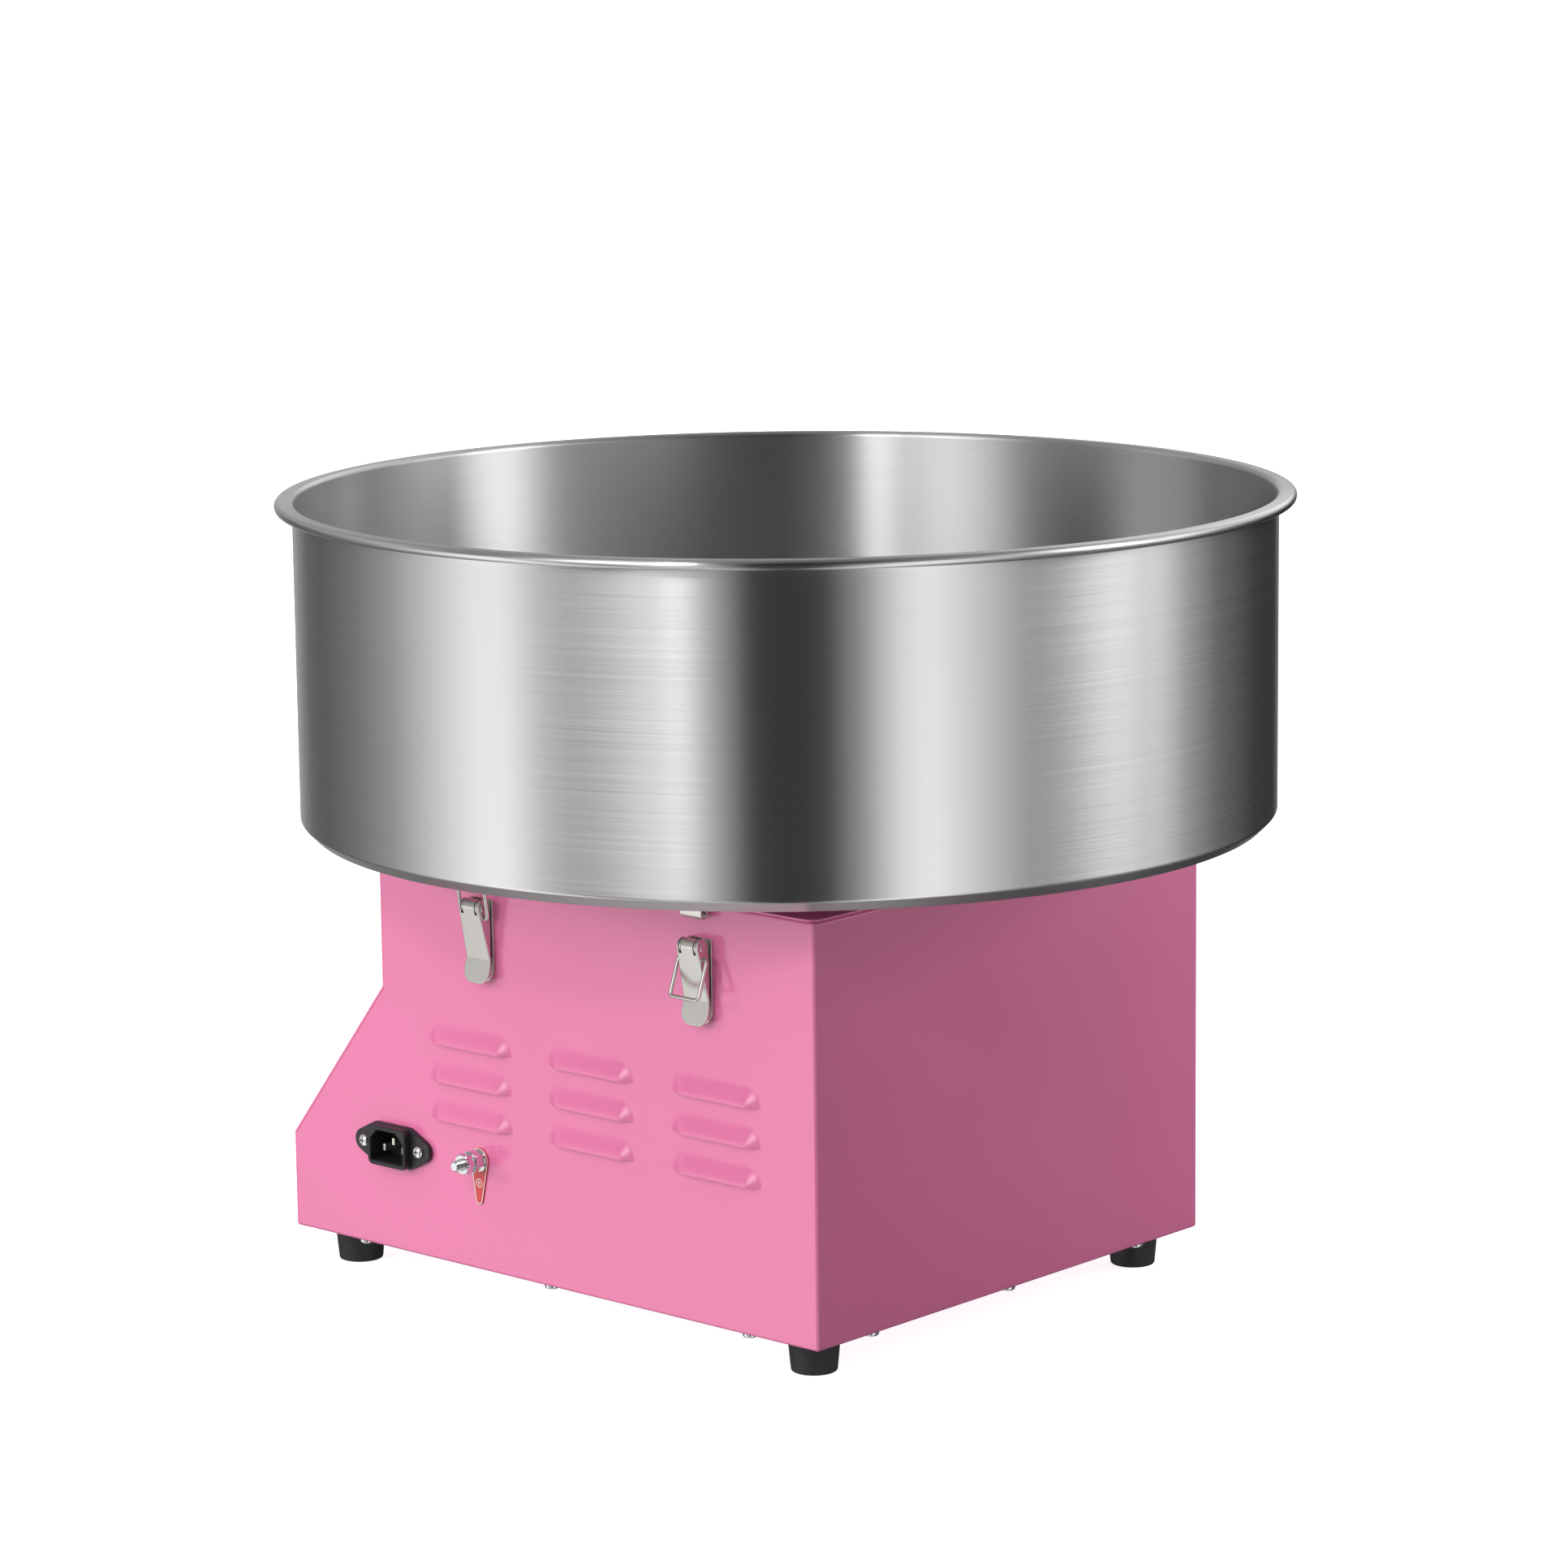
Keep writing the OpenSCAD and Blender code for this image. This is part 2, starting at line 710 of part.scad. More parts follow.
module switch_bodies() {
    color(BLACK) for (x = [power_x, heat_x]) on_slope(x) difference() {
        union() {
            slab([25.4, 31], 1.6, 0, 2);
            slab([22.4, 28.4], 1, -24, eps);
            for (y = [-9, 0, 9]) translate([0, y, 0]) slab([6.3, 0.8], 0.3, -33, -23);
        }
        slab([19, 25], 0.8, -11, 3);
        translate([0, 0, rocker_z]) rotate([0, 90, 0])
            cylinder(r = trunnion_r + running, h = 21.2, center = true);
    }
}

// Rocker seen from its side, level, with its hinge at the origin
module rocker_outline() {
    polygon(concat([[-11.2, -3], [-11.2, 6.4], [0, 5.2], [11.2, 6.4], [11.2, -3]],
        arc([0, -1], 5.5, -20, -160, 8)));
}

module rocker(x) {
    on_slope(x) translate([0, 0, rocker_z]) rotate([-rocker_tilt, 0, 0]) {
        along_x(-9, 9) rocker_outline();
        rotate([0, 90, 0]) cylinder(r = trunnion_r, h = 21, center = true);
    }
}

module heat_control() {
    color([0.35, 0.36, 0.38]) on_slope(knob_x) difference() {
        union() {
            translate([0, 0, -16]) cylinder(r = 13, h = 14);
            translate([0, 0, -2 - eps]) cylinder(r = 3.5, h = 7);
        }
        translate([0, 0, -12]) cylinder(r = 3.06, h = 20);
    }
}

module heat_nut() {
    color(ZINC) on_slope(knob_x) translate([0, 0, 0.5]) nut(10, 3.52, 2);
}

module dial_plate() {
    color(STEEL) on_slope(knob_x) washer(27, 3.6, 0.5);
}

module heat_shaft() {
    color(ZINC) on_slope(knob_x) translate([0, 0, -11]) cylinder(r = 3, h = 26);
}

module heat_knob() {
    color(BLACK) on_slope(knob_x) difference() {
        union() {
            rotate_extrude() polygon([[0, 1], [19, 1], [19, 4], [17, 5.5], [0, 5.5]]);
            for (a = [0:30:330]) rotate(a) translate([11.6, 0, 5]) cylinder(r = 2, h = 12, $fn = 24);
            translate([0, 0, 5]) cylinder(r = 12, h = 12);
            rotate(150) slab([2.4, 22], 1, 16, 17.8);
        }
        cylinder(r = 7.5, h = 5.4);
        translate([0, 0, -1]) cylinder(r = 3, h = 16);
    }
}

// Motor ---------------------------------------------------------------------------------------

// Drawn can, closed at its foot round the lower bearing
module motor_can() {
    wall = 2.5;
    color([0.25, 0.26, 0.28]) difference() {
        union() {
            translate([0, 0, motor_z0]) cylinder(r = motor_r, h = motor_z1 - motor_z0);
            translate([0, 0, motor_z0 - 8]) cylinder(r = 15, h = 9);
        }
        translate([0, 0, motor_z0 + wall]) cylinder(r = motor_r - wall, h = motor_z1);
        translate([0, 0, motor_z0 - 6]) cylinder(r = 11, h = 12);
        translate([0, 0, motor_z0 - 10]) cylinder(r = shaft_r + 1, h = 12);
        for (a = [0:45:315]) rotate(a) translate([28, 0, motor_z0 - 1])
            cylinder(r = 5, h = wall + 2);
    }
}

module motor_cap() {
    color([0.62, 0.63, 0.65]) difference() {
        union() {
            translate([0, 0, motor_z1]) cylinder(r = motor_r, h = 6);
            translate([0, 0, motor_z1 + 5]) cylinder(r = 15, h = 5);
            each_cap_screw() translate([0, 0, motor_z1 + 5])
                cylinder(r = 6, h = plate_z - motor_z1 - 5);
        }
        translate([0, 0, motor_z1 - 1]) cylinder(r = 11, h = 9);
        translate([0, 0, motor_z1 - 1]) cylinder(r = shaft_r + 1, h = 20);
        each_cap_screw() translate([0, 0, motor_z1 - 1]) cylinder(r = 2.02, h = 20);
    }
}

module motor_magnets() {
    color([0.18, 0.18, 0.2]) translate([0, 0, 84]) intersection() {
        washer(motor_r - 2.5, 37, 74);
        for (s = [-1, 1]) box([s < 0 ? -50 : 10, -50, 0], [s < 0 ? -10 : 50, 50, 74]);
    }
}

module motor_bearings() {
    color(ZINC) for (z = [motor_z0 - 6, motor_z1 + 1]) translate([0, 0, z])
        washer(11, shaft_r + 0.03, 7);
}

module motor_plate() {
    color(ZINC) difference() {
        slab([130, 130], 12, plate_z, plate_z + plate_t);
        translate([0, 0, plate_z - 1]) cylinder(r = 16, h = 5);
        each_hanger() translate([0, 0, plate_z - 1]) cylinder(r = hanger_bolt_r + 0.2, h = 5);
        each_cap_screw() translate([0, 0, plate_z - 1]) cylinder(r = 2.02, h = 5);
    }
}

module each_cap_screw() {
    for (a = hanger_angles) rotate(a) translate([cap_screw_r, 0, 0]) children();
}

module motor_screws() {
    color(ZINC) each_cap_screw() translate([0, 0, plate_z + plate_t]) rotate([180, 0, 0])
        pan_screw(3.9, 2.6, 2, 9, $fn = 32);
}

module each_hanger() {
    for (a = hanger_angles) rotate(a) translate([hanger_r, 0, 0]) children();
}

module hanger_bolts() {
    nut_h = 5;
    foot = plate_z - damper_h - nut_h;
    color(ZINC) each_hanger() {
        translate([0, 0, top_z]) hex(10, 4);
        translate([0, 0, foot - 3]) cylinder(r = hanger_bolt_r - eps, h = top_z - foot + 3 + eps);
        translate([0, 0, foot]) nut(10, hanger_bolt_r, nut_h);
    }
}

module rubber_dampers() {
    top_of_plate = plate_z + plate_t;
    color(BLACK) each_hanger() for (z = [plate_z - damper_h, top_of_plate, case_top - damper_h])
        translate([0, 0, z]) washer(damper_r, hanger_bolt_r, damper_h);
}

module hanger_spacers() {
    z0 = plate_z + plate_t + damper_h;
    color(STEEL) each_hanger() translate([0, 0, z0])
        washer(5, hanger_bolt_r, case_top - damper_h - z0);
}

// Brushes that carry the heater's current to the turning rings
module brush_holder() {
    z0 = plate_z + plate_t;
    color([0.45, 0.26, 0.14]) difference() {
        union() {
            box([28, -14, z0], [62, 14, z0 + 4]);
            box([28, -8, z0 + 4 - eps], [46, 8, ring_z[1] + ring_h + 4]);
        }
        for (z = ring_z) translate([20, 0, z + ring_h / 2]) box([0, -3.1, -2.6], [22, 3.1, 2.6]);
    }
}

module carbon_brushes() {
    color([0.12, 0.12, 0.13]) for (z = ring_z) translate([0, 0, z + ring_h / 2]) difference() {
        box([15, -3, -2.5], [34, 3, 2.5]);
        cylinder(r = ring_r + 0.08, h = 20, center = true);
    }
}

// Parts that turn -----------------------------------------------------------------------------

module drive_shaft() {
    color(ZINC) {
        translate([0, 0, 46]) cylinder(r = shaft_r, h = pan_z - 46 + 14);
        translate([0, 0, pan_z + 14 - eps]) cylinder(r1 = shaft_r, r2 = shaft_r - 1, h = 1.5);
    }
}

module rotor() {
    color([0.55, 0.33, 0.16]) difference() {
        union() {
            translate([0, 0, 92]) cylinder(r = 35.5, h = 56);
            translate([0, 0, 84]) cylinder(r = 29, h = 72);
            translate([0, 0, 155]) cylinder(r = 12, h = 11);
        }
        translate([0, 0, 80]) cylinder(r = shaft_r, h = 100);
        for (a = [0:30:330]) rotate(a) translate([35, 0, 90]) cylinder(r = 2.2, h = 60, $fn = 24);
    }
}

module cooling_fan() {
    color(BLACK) difference() {
        union() {
            translate([0, 0, 48]) cylinder(r = 12, h = 12);
            translate([0, 0, 58]) cylinder(r = 40, h = 1.6);
            for (a = [0:45:315]) rotate(a) translate([0, 0, 48]) box([10, -0.8, 0], [39, 0.8, 10.5]);
        }
        translate([0, 0, 40]) cylinder(r = shaft_r, h = 30);
    }
}

module slip_rings() {
    color(BRASS) difference() {
        union() {
            translate([0, 0, ring_z[0] - 6]) cylinder(r = 12, h = ring_z[1] - ring_z[0] + ring_h + 12);
            for (z = ring_z) translate([0, 0, z]) cylinder(r = ring_r, h = ring_h);
        }
        translate([0, 0, ring_z[0] - 10]) cylinder(r = shaft_r, h = 60);
    }
}

module spinner_pan() {
    rim = 7;
    color([0.72, 0.73, 0.75]) difference() {
        union() {
            translate([0, 0, pan_z]) cylinder(r = head_r, h = rim, $fn = 96);
            translate([0, 0, pan_z - 16]) cylinder(r1 = 13, r2 = 18, h = 16 + eps);
        }
        translate([0, 0, pan_z + pan_t]) cylinder(r = head_r - 2.5, h = rim, $fn = 96);
        translate([0, 0, pan_z - 20]) cylinder(r = shaft_r, h = 40);
        for (a = lid_screw_angles) rotate(a) translate([lid_screw_r, 0, pan_z - 2])
            cylinder(r = 2.05, h = 6);
    }
}

module heating_element() {
    color([0.5, 0.42, 0.36]) translate([0, 0, element_wire_z]) rotate_extrude($fn = 96)
        translate([element_r, 0]) circle(element_tube_r, $fn = 24);
}

module element_posts() {
    top = element_wire_z - element_tube_r;
    color("white") for (a = post_angles) rotate(a) translate([element_r, 0, screen_z0])
        cylinder(r = 3.2, h = top - screen_z0 - 0.02);
}

module floss_screen() {
    color(STEEL) difference() {
        translate([0, 0, screen_z0]) washer(screen_r, screen_r - 0.8, screen_h);
        for (i = [0:screen_slots - 1]) rotate(i * 360 / screen_slots)
            box([screen_r - 3, -0.6, screen_z0 + 4], [screen_r + 2, 0.6, screen_z0 + screen_h - 4]);
    }
}

module spinner_lid() {
    lip = [[23, lid_z + 9], [23, lid_z + 2.5], [26, lid_z], [head_r - 3, lid_z],
        [head_r, lid_z - 3]];
    color([0.72, 0.73, 0.75]) difference() {
        rotate_extrude($fn = 96) polygon(sheet(lip, 1.5));
        for (a = lid_screw_angles) rotate(a) translate([lid_screw_r, 0, lid_z - 1])
            cylinder(r = 2.05, h = 6);
    }
}

module lid_screws() {
    reach = lid_z - pan_z + 1.5;
    color(ZINC) for (a = lid_screw_angles) rotate(a) translate([lid_screw_r, 0, 0]) {
        translate([0, 0, lid_z + 1.5]) rotate([180, 0, 0]) pan_screw(3.6, 2.6, 2, reach + 5, $fn = 32);
        translate([0, 0, pan_z - 3.2]) nut(7, 2.02, 3.2);
        translate([0, 0, pan_z + pan_t]) washer(3.4, 2.02, lid_z - pan_z - pan_t);
    }
}

// One line for each node ----------------------------------------------------------------------

side_wrap();
front_panel();
top_plate();
bottom_plate();
guard_ring();
guard_screws();
feet();
foot_screws();
case_screws();
inlet_body();
inlet_pins();
inlet_screws();
earth_stud();
earth_nuts();
earth_tag();
latch_bases();
latch_rivets();
voltmeter_case();
voltmeter_dial();
voltmeter_lens();
switch_bodies();
heat_control();
heat_nut();
dial_plate();
motor_can();
motor_cap();
motor_magnets();
motor_plate();
motor_screws();
hanger_bolts();
hanger_spacers();
rubber_dampers();
motor_bearings();
brush_holder();
carbon_brushes();
drive_shaft();
rotor();
cooling_fan();
slip_rings();
spinner_pan();
heating_element();
element_posts();
floss_screen();
spinner_lid();
lid_screws();
bowl();
bowl_hooks();
latch_lever(1, latch_y_front);  // latch_lever_front_right
latch_lever(-1, latch_y_front);  // latch_lever_front_left
latch_lever(1, latch_y_rear);  // latch_lever_rear_right
latch_lever(-1, latch_y_rear);  // latch_lever_rear_left
latch_bail(1, latch_y_front, bail_raise);  // latch_bail_front_right
latch_bail(-1, latch_y_front, bail_raise);  // latch_bail_front_left
latch_bail(1, latch_y_rear, 180 - bail_hang);  // latch_bail_rear_right
latch_bail(-1, latch_y_rear, 180 - bail_hang);  // latch_bail_rear_left
color("firebrick") rocker(power_x);  // power_rocker
color("seagreen") rocker(heat_x);  // heat_rocker
heat_knob();
heat_shaft();
voltmeter_needle();
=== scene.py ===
"""Looks for the cotton candy machine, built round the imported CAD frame. Lengths are in millimetres."""
import json
from math import atan2, cos, degrees, hypot, pi, radians, sin, tan

import bmesh
import bpy
from mathutils import Matrix, Vector
from mathutils.geometry import tessellate_polygon


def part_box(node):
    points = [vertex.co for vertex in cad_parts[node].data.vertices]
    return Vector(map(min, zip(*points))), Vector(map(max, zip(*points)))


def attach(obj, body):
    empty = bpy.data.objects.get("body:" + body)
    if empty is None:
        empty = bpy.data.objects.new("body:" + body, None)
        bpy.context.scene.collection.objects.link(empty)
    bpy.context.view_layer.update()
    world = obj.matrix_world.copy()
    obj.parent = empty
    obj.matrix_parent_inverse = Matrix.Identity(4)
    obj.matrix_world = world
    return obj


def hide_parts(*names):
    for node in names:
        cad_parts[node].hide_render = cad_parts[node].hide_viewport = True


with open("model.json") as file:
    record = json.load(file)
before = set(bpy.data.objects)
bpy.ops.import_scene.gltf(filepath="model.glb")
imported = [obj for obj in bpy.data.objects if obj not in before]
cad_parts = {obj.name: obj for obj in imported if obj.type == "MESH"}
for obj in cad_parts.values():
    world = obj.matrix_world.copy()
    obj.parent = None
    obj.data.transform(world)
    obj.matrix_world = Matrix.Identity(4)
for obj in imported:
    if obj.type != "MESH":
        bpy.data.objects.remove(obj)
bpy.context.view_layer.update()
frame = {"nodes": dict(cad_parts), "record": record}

MM = 0.001


def box_mm(node):
    """The lowest and highest corners of a CAD node, in millimetres."""
    low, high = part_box(node)
    return low / MM, high / MM


# Places and sizes that the CAD gives, and the few that its boxes don't show -------------------

SHEET = 1.0  # thickness of the case's sheet steel
BEND = 1.6  # outer radius of a fold in that sheet
FOLD_STEPS = 4  # faces round each fold
FLANGE = 9.5  # width of the flanges inside the case
TOP_FLANGE_D = SHEET + FLANGE
panel_low, panel_high = box_mm("front_panel")
HALF_W = panel_high.x + SHEET
FRONT = panel_low.y
CASE_LOW = panel_low.z
CASE_TOP = panel_high.z
REAR = box_mm("side_wrap")[1].y
PLATE_TOP = box_mm("top_plate")[1].z
SLOPE_LOW = 69.5  # heights at which the front's slope starts and ends
SLOPE_HIGH = 158.0
FRONT_PATH = [(FRONT, CASE_LOW), (FRONT, SLOPE_LOW), (-REAR, SLOPE_HIGH), (-REAR, CASE_TOP)]
SLOPE_Y = (FRONT - REAR) / 2
SLOPE_Z = (SLOPE_LOW + SLOPE_HIGH) / 2
SLOPE_ANGLE = degrees(atan2(SLOPE_HIGH - SLOPE_LOW, -REAR - FRONT))

LOUVRE_Y = (-85, 0, 85)
LOUVRE_Z = (94.4, 114.4, 134.4)
LOUVRE_HALF = 28.0
LOUVRE_PROUD = 3.7
LOUVRE_FADE = (9.5, 11.5)  # how far a louvre takes to sink into the wall, at its ends and upwards

INLET = (-142, 74.8)  # y and z of the inlet's middle
INLET_HOLE = (28.6, 22, 3)  # width, height and corner radius of its hole in the wall
INLET_SCREW = 20  # from the inlet's middle to each of its screws
INLET_FLANGE = 3  # thickness of its flange
EARTH = (-80, 77)  # y and z of the earth stud
LATCH_Y = {"front": -74.0, "rear": 76.5}
SIDES = {"right": 1, "left": -1}
PIN = (6.5, 211.0)  # distance of a lever's pin from the wall, and its height
BAIL_PIVOT = (5.8, 205.3)
BAIL_ANGLE = {"front": 8.5, "rear": 159.6}

SWITCH_X = {"power": -104, "heat": -62}
SWITCH_HOLE = (22.6, 28.6, 1)  # width, height and corner radius of a switch's hole
KNOB_X = 88
ROCKER_Z = -2.5  # a rocker's axis, behind the apron's face
ROCKER_TILT = 9  # degrees that a rocker leans at rest
ROCKER_HALF = 11.2  # half a rocker's length
ROCKER_FACE = (5.2, 1.2)  # height of its face in the middle, and how much higher the ends are
NEEDLE_Y = -11  # the needle's axis, below the meter's middle

RIM_R = box_mm("bowl")[1].x
RIM_TOP = box_mm("bowl")[1].z
WALL_R = 251.0  # outer radius of the bowl's wall
BOWL_T = 0.9
BOWL_FLOOR = 243.7
CHAMFER = 5.8  # of the bowl's foot
HEAD_R = box_mm("spinner_pan")[1].x
PAN_Z = 266.0
LID_Z = 296.0


# Mesh building -----------------------------------------------

class Shape:
    """Vertices and faces, before they become an object."""

    def __init__(self, verts=(), faces=()):
        self.verts = [Vector(v) for v in verts]
        self.faces = [tuple(f) for f in faces]

    def add(self, other, matrix=None):
        base = len(self.verts)
        self.verts += [matrix @ v if matrix else v.copy() for v in other.verts]
        self.faces += [tuple(base + i for i in f) for f in other.faces]
        return self

    def moved(self, matrix):
        return Shape().add(self, matrix)

    def mapped(self, rule):
        """The same faces with each vertex moved by a rule."""
        return Shape([rule(v) for v in self.verts], self.faces)


def joined(*shapes):
    whole = Shape()
    for shape in shapes:
        whole.add(shape)
    return whole


def copies(shape, places):
    whole = Shape()
    for place in places:
        whole.add(shape, place)
    return whole


def at(x=0.0, y=0.0, z=0.0):
    return Matrix.Translation((x, y, z))


def turn(angle, axis):
    return Matrix.Rotation(radians(angle), 4, axis)


def arc(centre, r, a0, a1, steps):
    """Points of an arc, with angles in degrees."""
    angles = [radians(a0 + (a1 - a0) * i / steps) for i in range(steps + 1)]
    return [(centre[0] + r * cos(a), centre[1] + r * sin(a)) for a in angles]


def circle(r, steps=48, centre=(0, 0)):
    return arc(centre, r, 0, 360 * (steps - 1) / steps, steps - 1)


def rounded(points, r, steps=5, closed=True):
    """A polygon's points with its corners rounded; r is one radius or one for each corner.
    A corner of radius 0 keeps as many points as the others, all in one place."""
    radii = r if isinstance(r, (list, tuple)) else [r] * len(points)
    out = []
    for i, point in enumerate(points):
        p = Vector(point)
        if not closed and i in (0, len(points) - 1):
            out.append(tuple(p))
            continue
        if radii[i] <= 1e-6:
            out += [tuple(p)] * (steps + 1)
            continue
        before = (Vector(points[i - 1]) - p).normalized()
        after = (Vector(points[(i + 1) % len(points)]) - p).normalized()
        half = before.angle(after) / 2
        middle = p + (before + after).normalized() * (radii[i] / sin(half))
        start = p + before * (radii[i] / tan(half)) - middle
        end = p + after * (radii[i] / tan(half)) - middle
        a0 = atan2(start.y, start.x)
        sweep = (atan2(end.y, end.x) - a0 + pi) % (2 * pi) - pi
        out += arc(middle, radii[i], degrees(a0), degrees(a0 + sweep), steps)
    return out


def rectangle(w, h, r=0.0, steps=5, centre=(0, 0)):
    x, y = centre
    corners = [(x - w / 2, y - h / 2), (x + w / 2, y - h / 2), (x + w / 2, y + h / 2), (x - w / 2, y + h / 2)]
    return rounded(corners, r, steps) if r else corners


def inset(points, d, closed=True):
    """The points moved d to the left of the way they run, with mitred corners."""
    pts = [Vector(p) for p in points]
    last = len(pts) - 1
    out = []
    for i, p in enumerate(pts):
        sides = []
        if closed or i > 0:
            sides.append(p - pts[i - 1])
        if closed or i < last:
            sides.append(pts[(i + 1) % len(pts)] - p)
        normals = [Vector((-s.y, s.x)).normalized() for s in sides if s.length > 1e-9]
        mean = sum(normals, Vector((0, 0))) / len(normals)
        out.append(tuple(p + mean * (d / max(mean.length_squared, 0.25))))
    return out


def sheet_outline(path, t):
    """Closed outline of a sheet of thickness t on the left of an open path."""
    return list(path) + inset(path, t, closed=False)[::-1]


def quarter(r, steps=4):
    """How deep and how high each point of a rounded edge lies, from its side to its face."""
    angles = [pi / 2 * k / steps for k in range(steps + 1)]
    return [(r * (1 - cos(a)), r * sin(a)) for a in angles]


def grid(rows, closed=False):
    """Faces between rows of points; closed joins each row's last point to its first."""
    n = len(rows[0])
    shape = Shape([p for row in rows for p in row])
    for k in range(len(rows) - 1):
        for i in range(n if closed else n - 1):
            j = (i + 1) % n
            shape.faces.append((k * n + i, k * n + j, (k + 1) * n + j, (k + 1) * n + i))
    return shape


def loft(rings, caps=False):
    shape = grid(rings, closed=True)
    if caps:
        n = len(rings[0])
        shape.faces.append(tuple(range(n))[::-1])
        shape.faces.append(tuple((len(rings) - 1) * n + i for i in range(n)))
    return shape


def lathe(profile, steps=64, closed=False):
    """Turns points of radius and height round the Z axis."""
    shape = Shape()
    rings = []
    for r, z in profile:
        base = len(shape.verts)
        if abs(r) < 1e-6:
            shape.verts.append(Vector((0, 0, z)))
            rings.append([base] * steps)
            continue
        shape.verts += [Vector((x, y, z)) for x, y in circle(r, steps)]
        rings.append(list(range(base, base + steps)))
    pairs = list(zip(rings, rings[1:])) + ([(rings[-1], rings[0])] if closed else [])
    for low, high in pairs:
        for i in range(steps):
            j = (i + 1) % steps
            corners = tuple(dict.fromkeys((low[i], low[j], high[j], high[i])))
            if len(corners) > 2:
                shape.faces.append(corners)
    return shape


def fill(outer, holes=(), z=0.0):
    """A flat face with holes, as triangles that face up."""
    loops = [[Vector((x, y, 0)) for x, y in loop] for loop in (outer, *holes)]
    flat = [v for loop in loops for v in loop]
    shape = Shape([(v.x, v.y, z) for v in flat])
    for a, b, c in tessellate_polygon(loops):
        up = (flat[b] - flat[a]).cross(flat[c] - flat[a]).z > 0
        shape.faces.append((a, b, c) if up else (a, c, b))
    return shape


def plate(outer, z0, z1, edge=0.3, holes=(), foot=None):
    """A slab with rounded edges, from outlines that run anticlockwise.
    foot is the rounding at z0, where it differs from edge, the one at z1."""
    foot = edge if foot is None else foot
    levels = [(d, z0 + foot - h) for d, h in quarter(foot)][::-1]
    levels += [(d, z1 - edge + h) for d, h in quarter(edge)]
    shape = Shape()
    for loop, side in [(outer, 1)] + [(hole, -1) for hole in holes]:
        shape.add(loft([[(x, y, z) for x, y in inset(loop, side * d)] for d, z in levels]))
    for d, z in (levels[0], levels[-1]):
        shape.add(fill(inset(outer, d), [inset(hole, -d) for hole in holes], z))
    return shape


def tube(path, r, sides=14):
    """A round bar along a path of 3D points, with rings turned as little as possible."""
    pts = [Vector(p) for p in path]
    last = len(pts) - 1
    side = (pts[1] - pts[0]).orthogonal().normalized()
    rings = []
    for i, p in enumerate(pts):
        way = (pts[min(i + 1, last)] - pts[max(i - 1, 0)]).normalized()
        side = (side - way * side.dot(way)).normalized()
        other = way.cross(side)
        angles = [2 * pi * k / sides for k in range(sides)]
        rings.append([p + (side * cos(a) + other * sin(a)) * r for a in angles])
    return loft(rings, caps=True)


def ends_on_y(shape):
    """Turns a shape drawn in u and z and run along its third axis into one that runs along y."""
    return shape.mapped(lambda v: Vector((v.x, v.z, v.y)))


def along_x(shape):
    """Turns a shape drawn in y and z and run along its third axis into one that runs along x."""
    return shape.mapped(lambda v: Vector((v.z, v.x, v.y)))


def mirrored(shape):
    """The shape as it is on the left side."""
    return shape.mapped(lambda v: Vector((-v.x, v.y, v.z)))


def on_right(y, z):
    """Frame on the right wall: x towards the rear, y up and z out of the wall."""
    return Matrix(((0, 0, 1, HALF_W), (1, 0, 0, y), (0, 1, 0, z), (0, 0, 0, 1)))


def on_slope(x=0.0, y=0.0, z=0.0):
    """Frame on the apron: x across, y up the slope and z out of its face."""
    return at(x, SLOPE_Y, SLOPE_Z) @ turn(SLOPE_ANGLE, "X") @ at(0, y, z)


def on_side(side, y):
    """Frame at a latch: x is the distance out from the wall."""
    return Matrix.Diagonal((side, 1, 1, 1)) @ at(HALF_W, y, 0)


def settle(piece, modifiers):
    """Gives the object the mesh that its modifiers make."""
    for kind, settings in modifiers:
        step = piece.modifiers.new(kind.title(), kind)
        for key, value in settings.items():
            setattr(step, key, value)
    graph = bpy.context.evaluated_depsgraph_get()
    final = bpy.data.meshes.new_from_object(piece.evaluated_get(graph))
    piece.modifiers.clear()
    old = piece.data
    piece.data = final
    bpy.data.meshes.remove(old)


def to_object(name, shape, thick=0.0, smooth=32):
    """A mesh object in metres. A shape with thick is an open sheet, which grows inwards by thick."""
    mesh = bpy.data.meshes.new(name)
    mesh.from_pydata([v * MM for v in shape.verts], [], shape.faces)
    work = bmesh.new()
    work.from_mesh(mesh)
    bmesh.ops.remove_doubles(work, verts=work.verts, dist=2e-6)
    bmesh.ops.dissolve_degenerate(work, edges=work.edges, dist=1e-7)
    bmesh.ops.recalc_face_normals(work, faces=work.faces)
    if thick:
        middle = sum((f.calc_center_median() * f.calc_area() for f in work.faces), Vector())
        middle /= sum(f.calc_area() for f in work.faces)
        facing = sum((f.calc_center_median() - middle).dot(f.normal) * f.calc_area() for f in work.faces)
        if facing < 0:
            bmesh.ops.reverse_faces(work, faces=work.faces)
    work.to_mesh(mesh)
    work.free()
    piece = bpy.data.objects.new(name, mesh)
    bpy.context.scene.collection.objects.link(piece)
    if thick:
        settle(piece, [("SOLIDIFY", dict(thickness=thick * MM, offset=-1, use_even_offset=True))])
    piece.data.polygons.foreach_set("use_smooth", [True] * len(piece.data.polygons))
    piece.data.set_sharp_from_angle(angle=radians(smooth))
    settle(piece, [("WEIGHTED_NORMAL", dict(keep_sharp=True, weight=90))])
    return piece


def make(name, shape, body, slot, *nodes, **how):
    """A finished piece: its mesh, material, body, slot and the CAD nodes that it stands for."""
    piece = to_object(name, shape, **how)
    piece.data.materials.clear()
    piece.data.materials.append(FINISH[slot])
    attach(piece, body)
    if nodes:
        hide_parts(*nodes)
    return piece


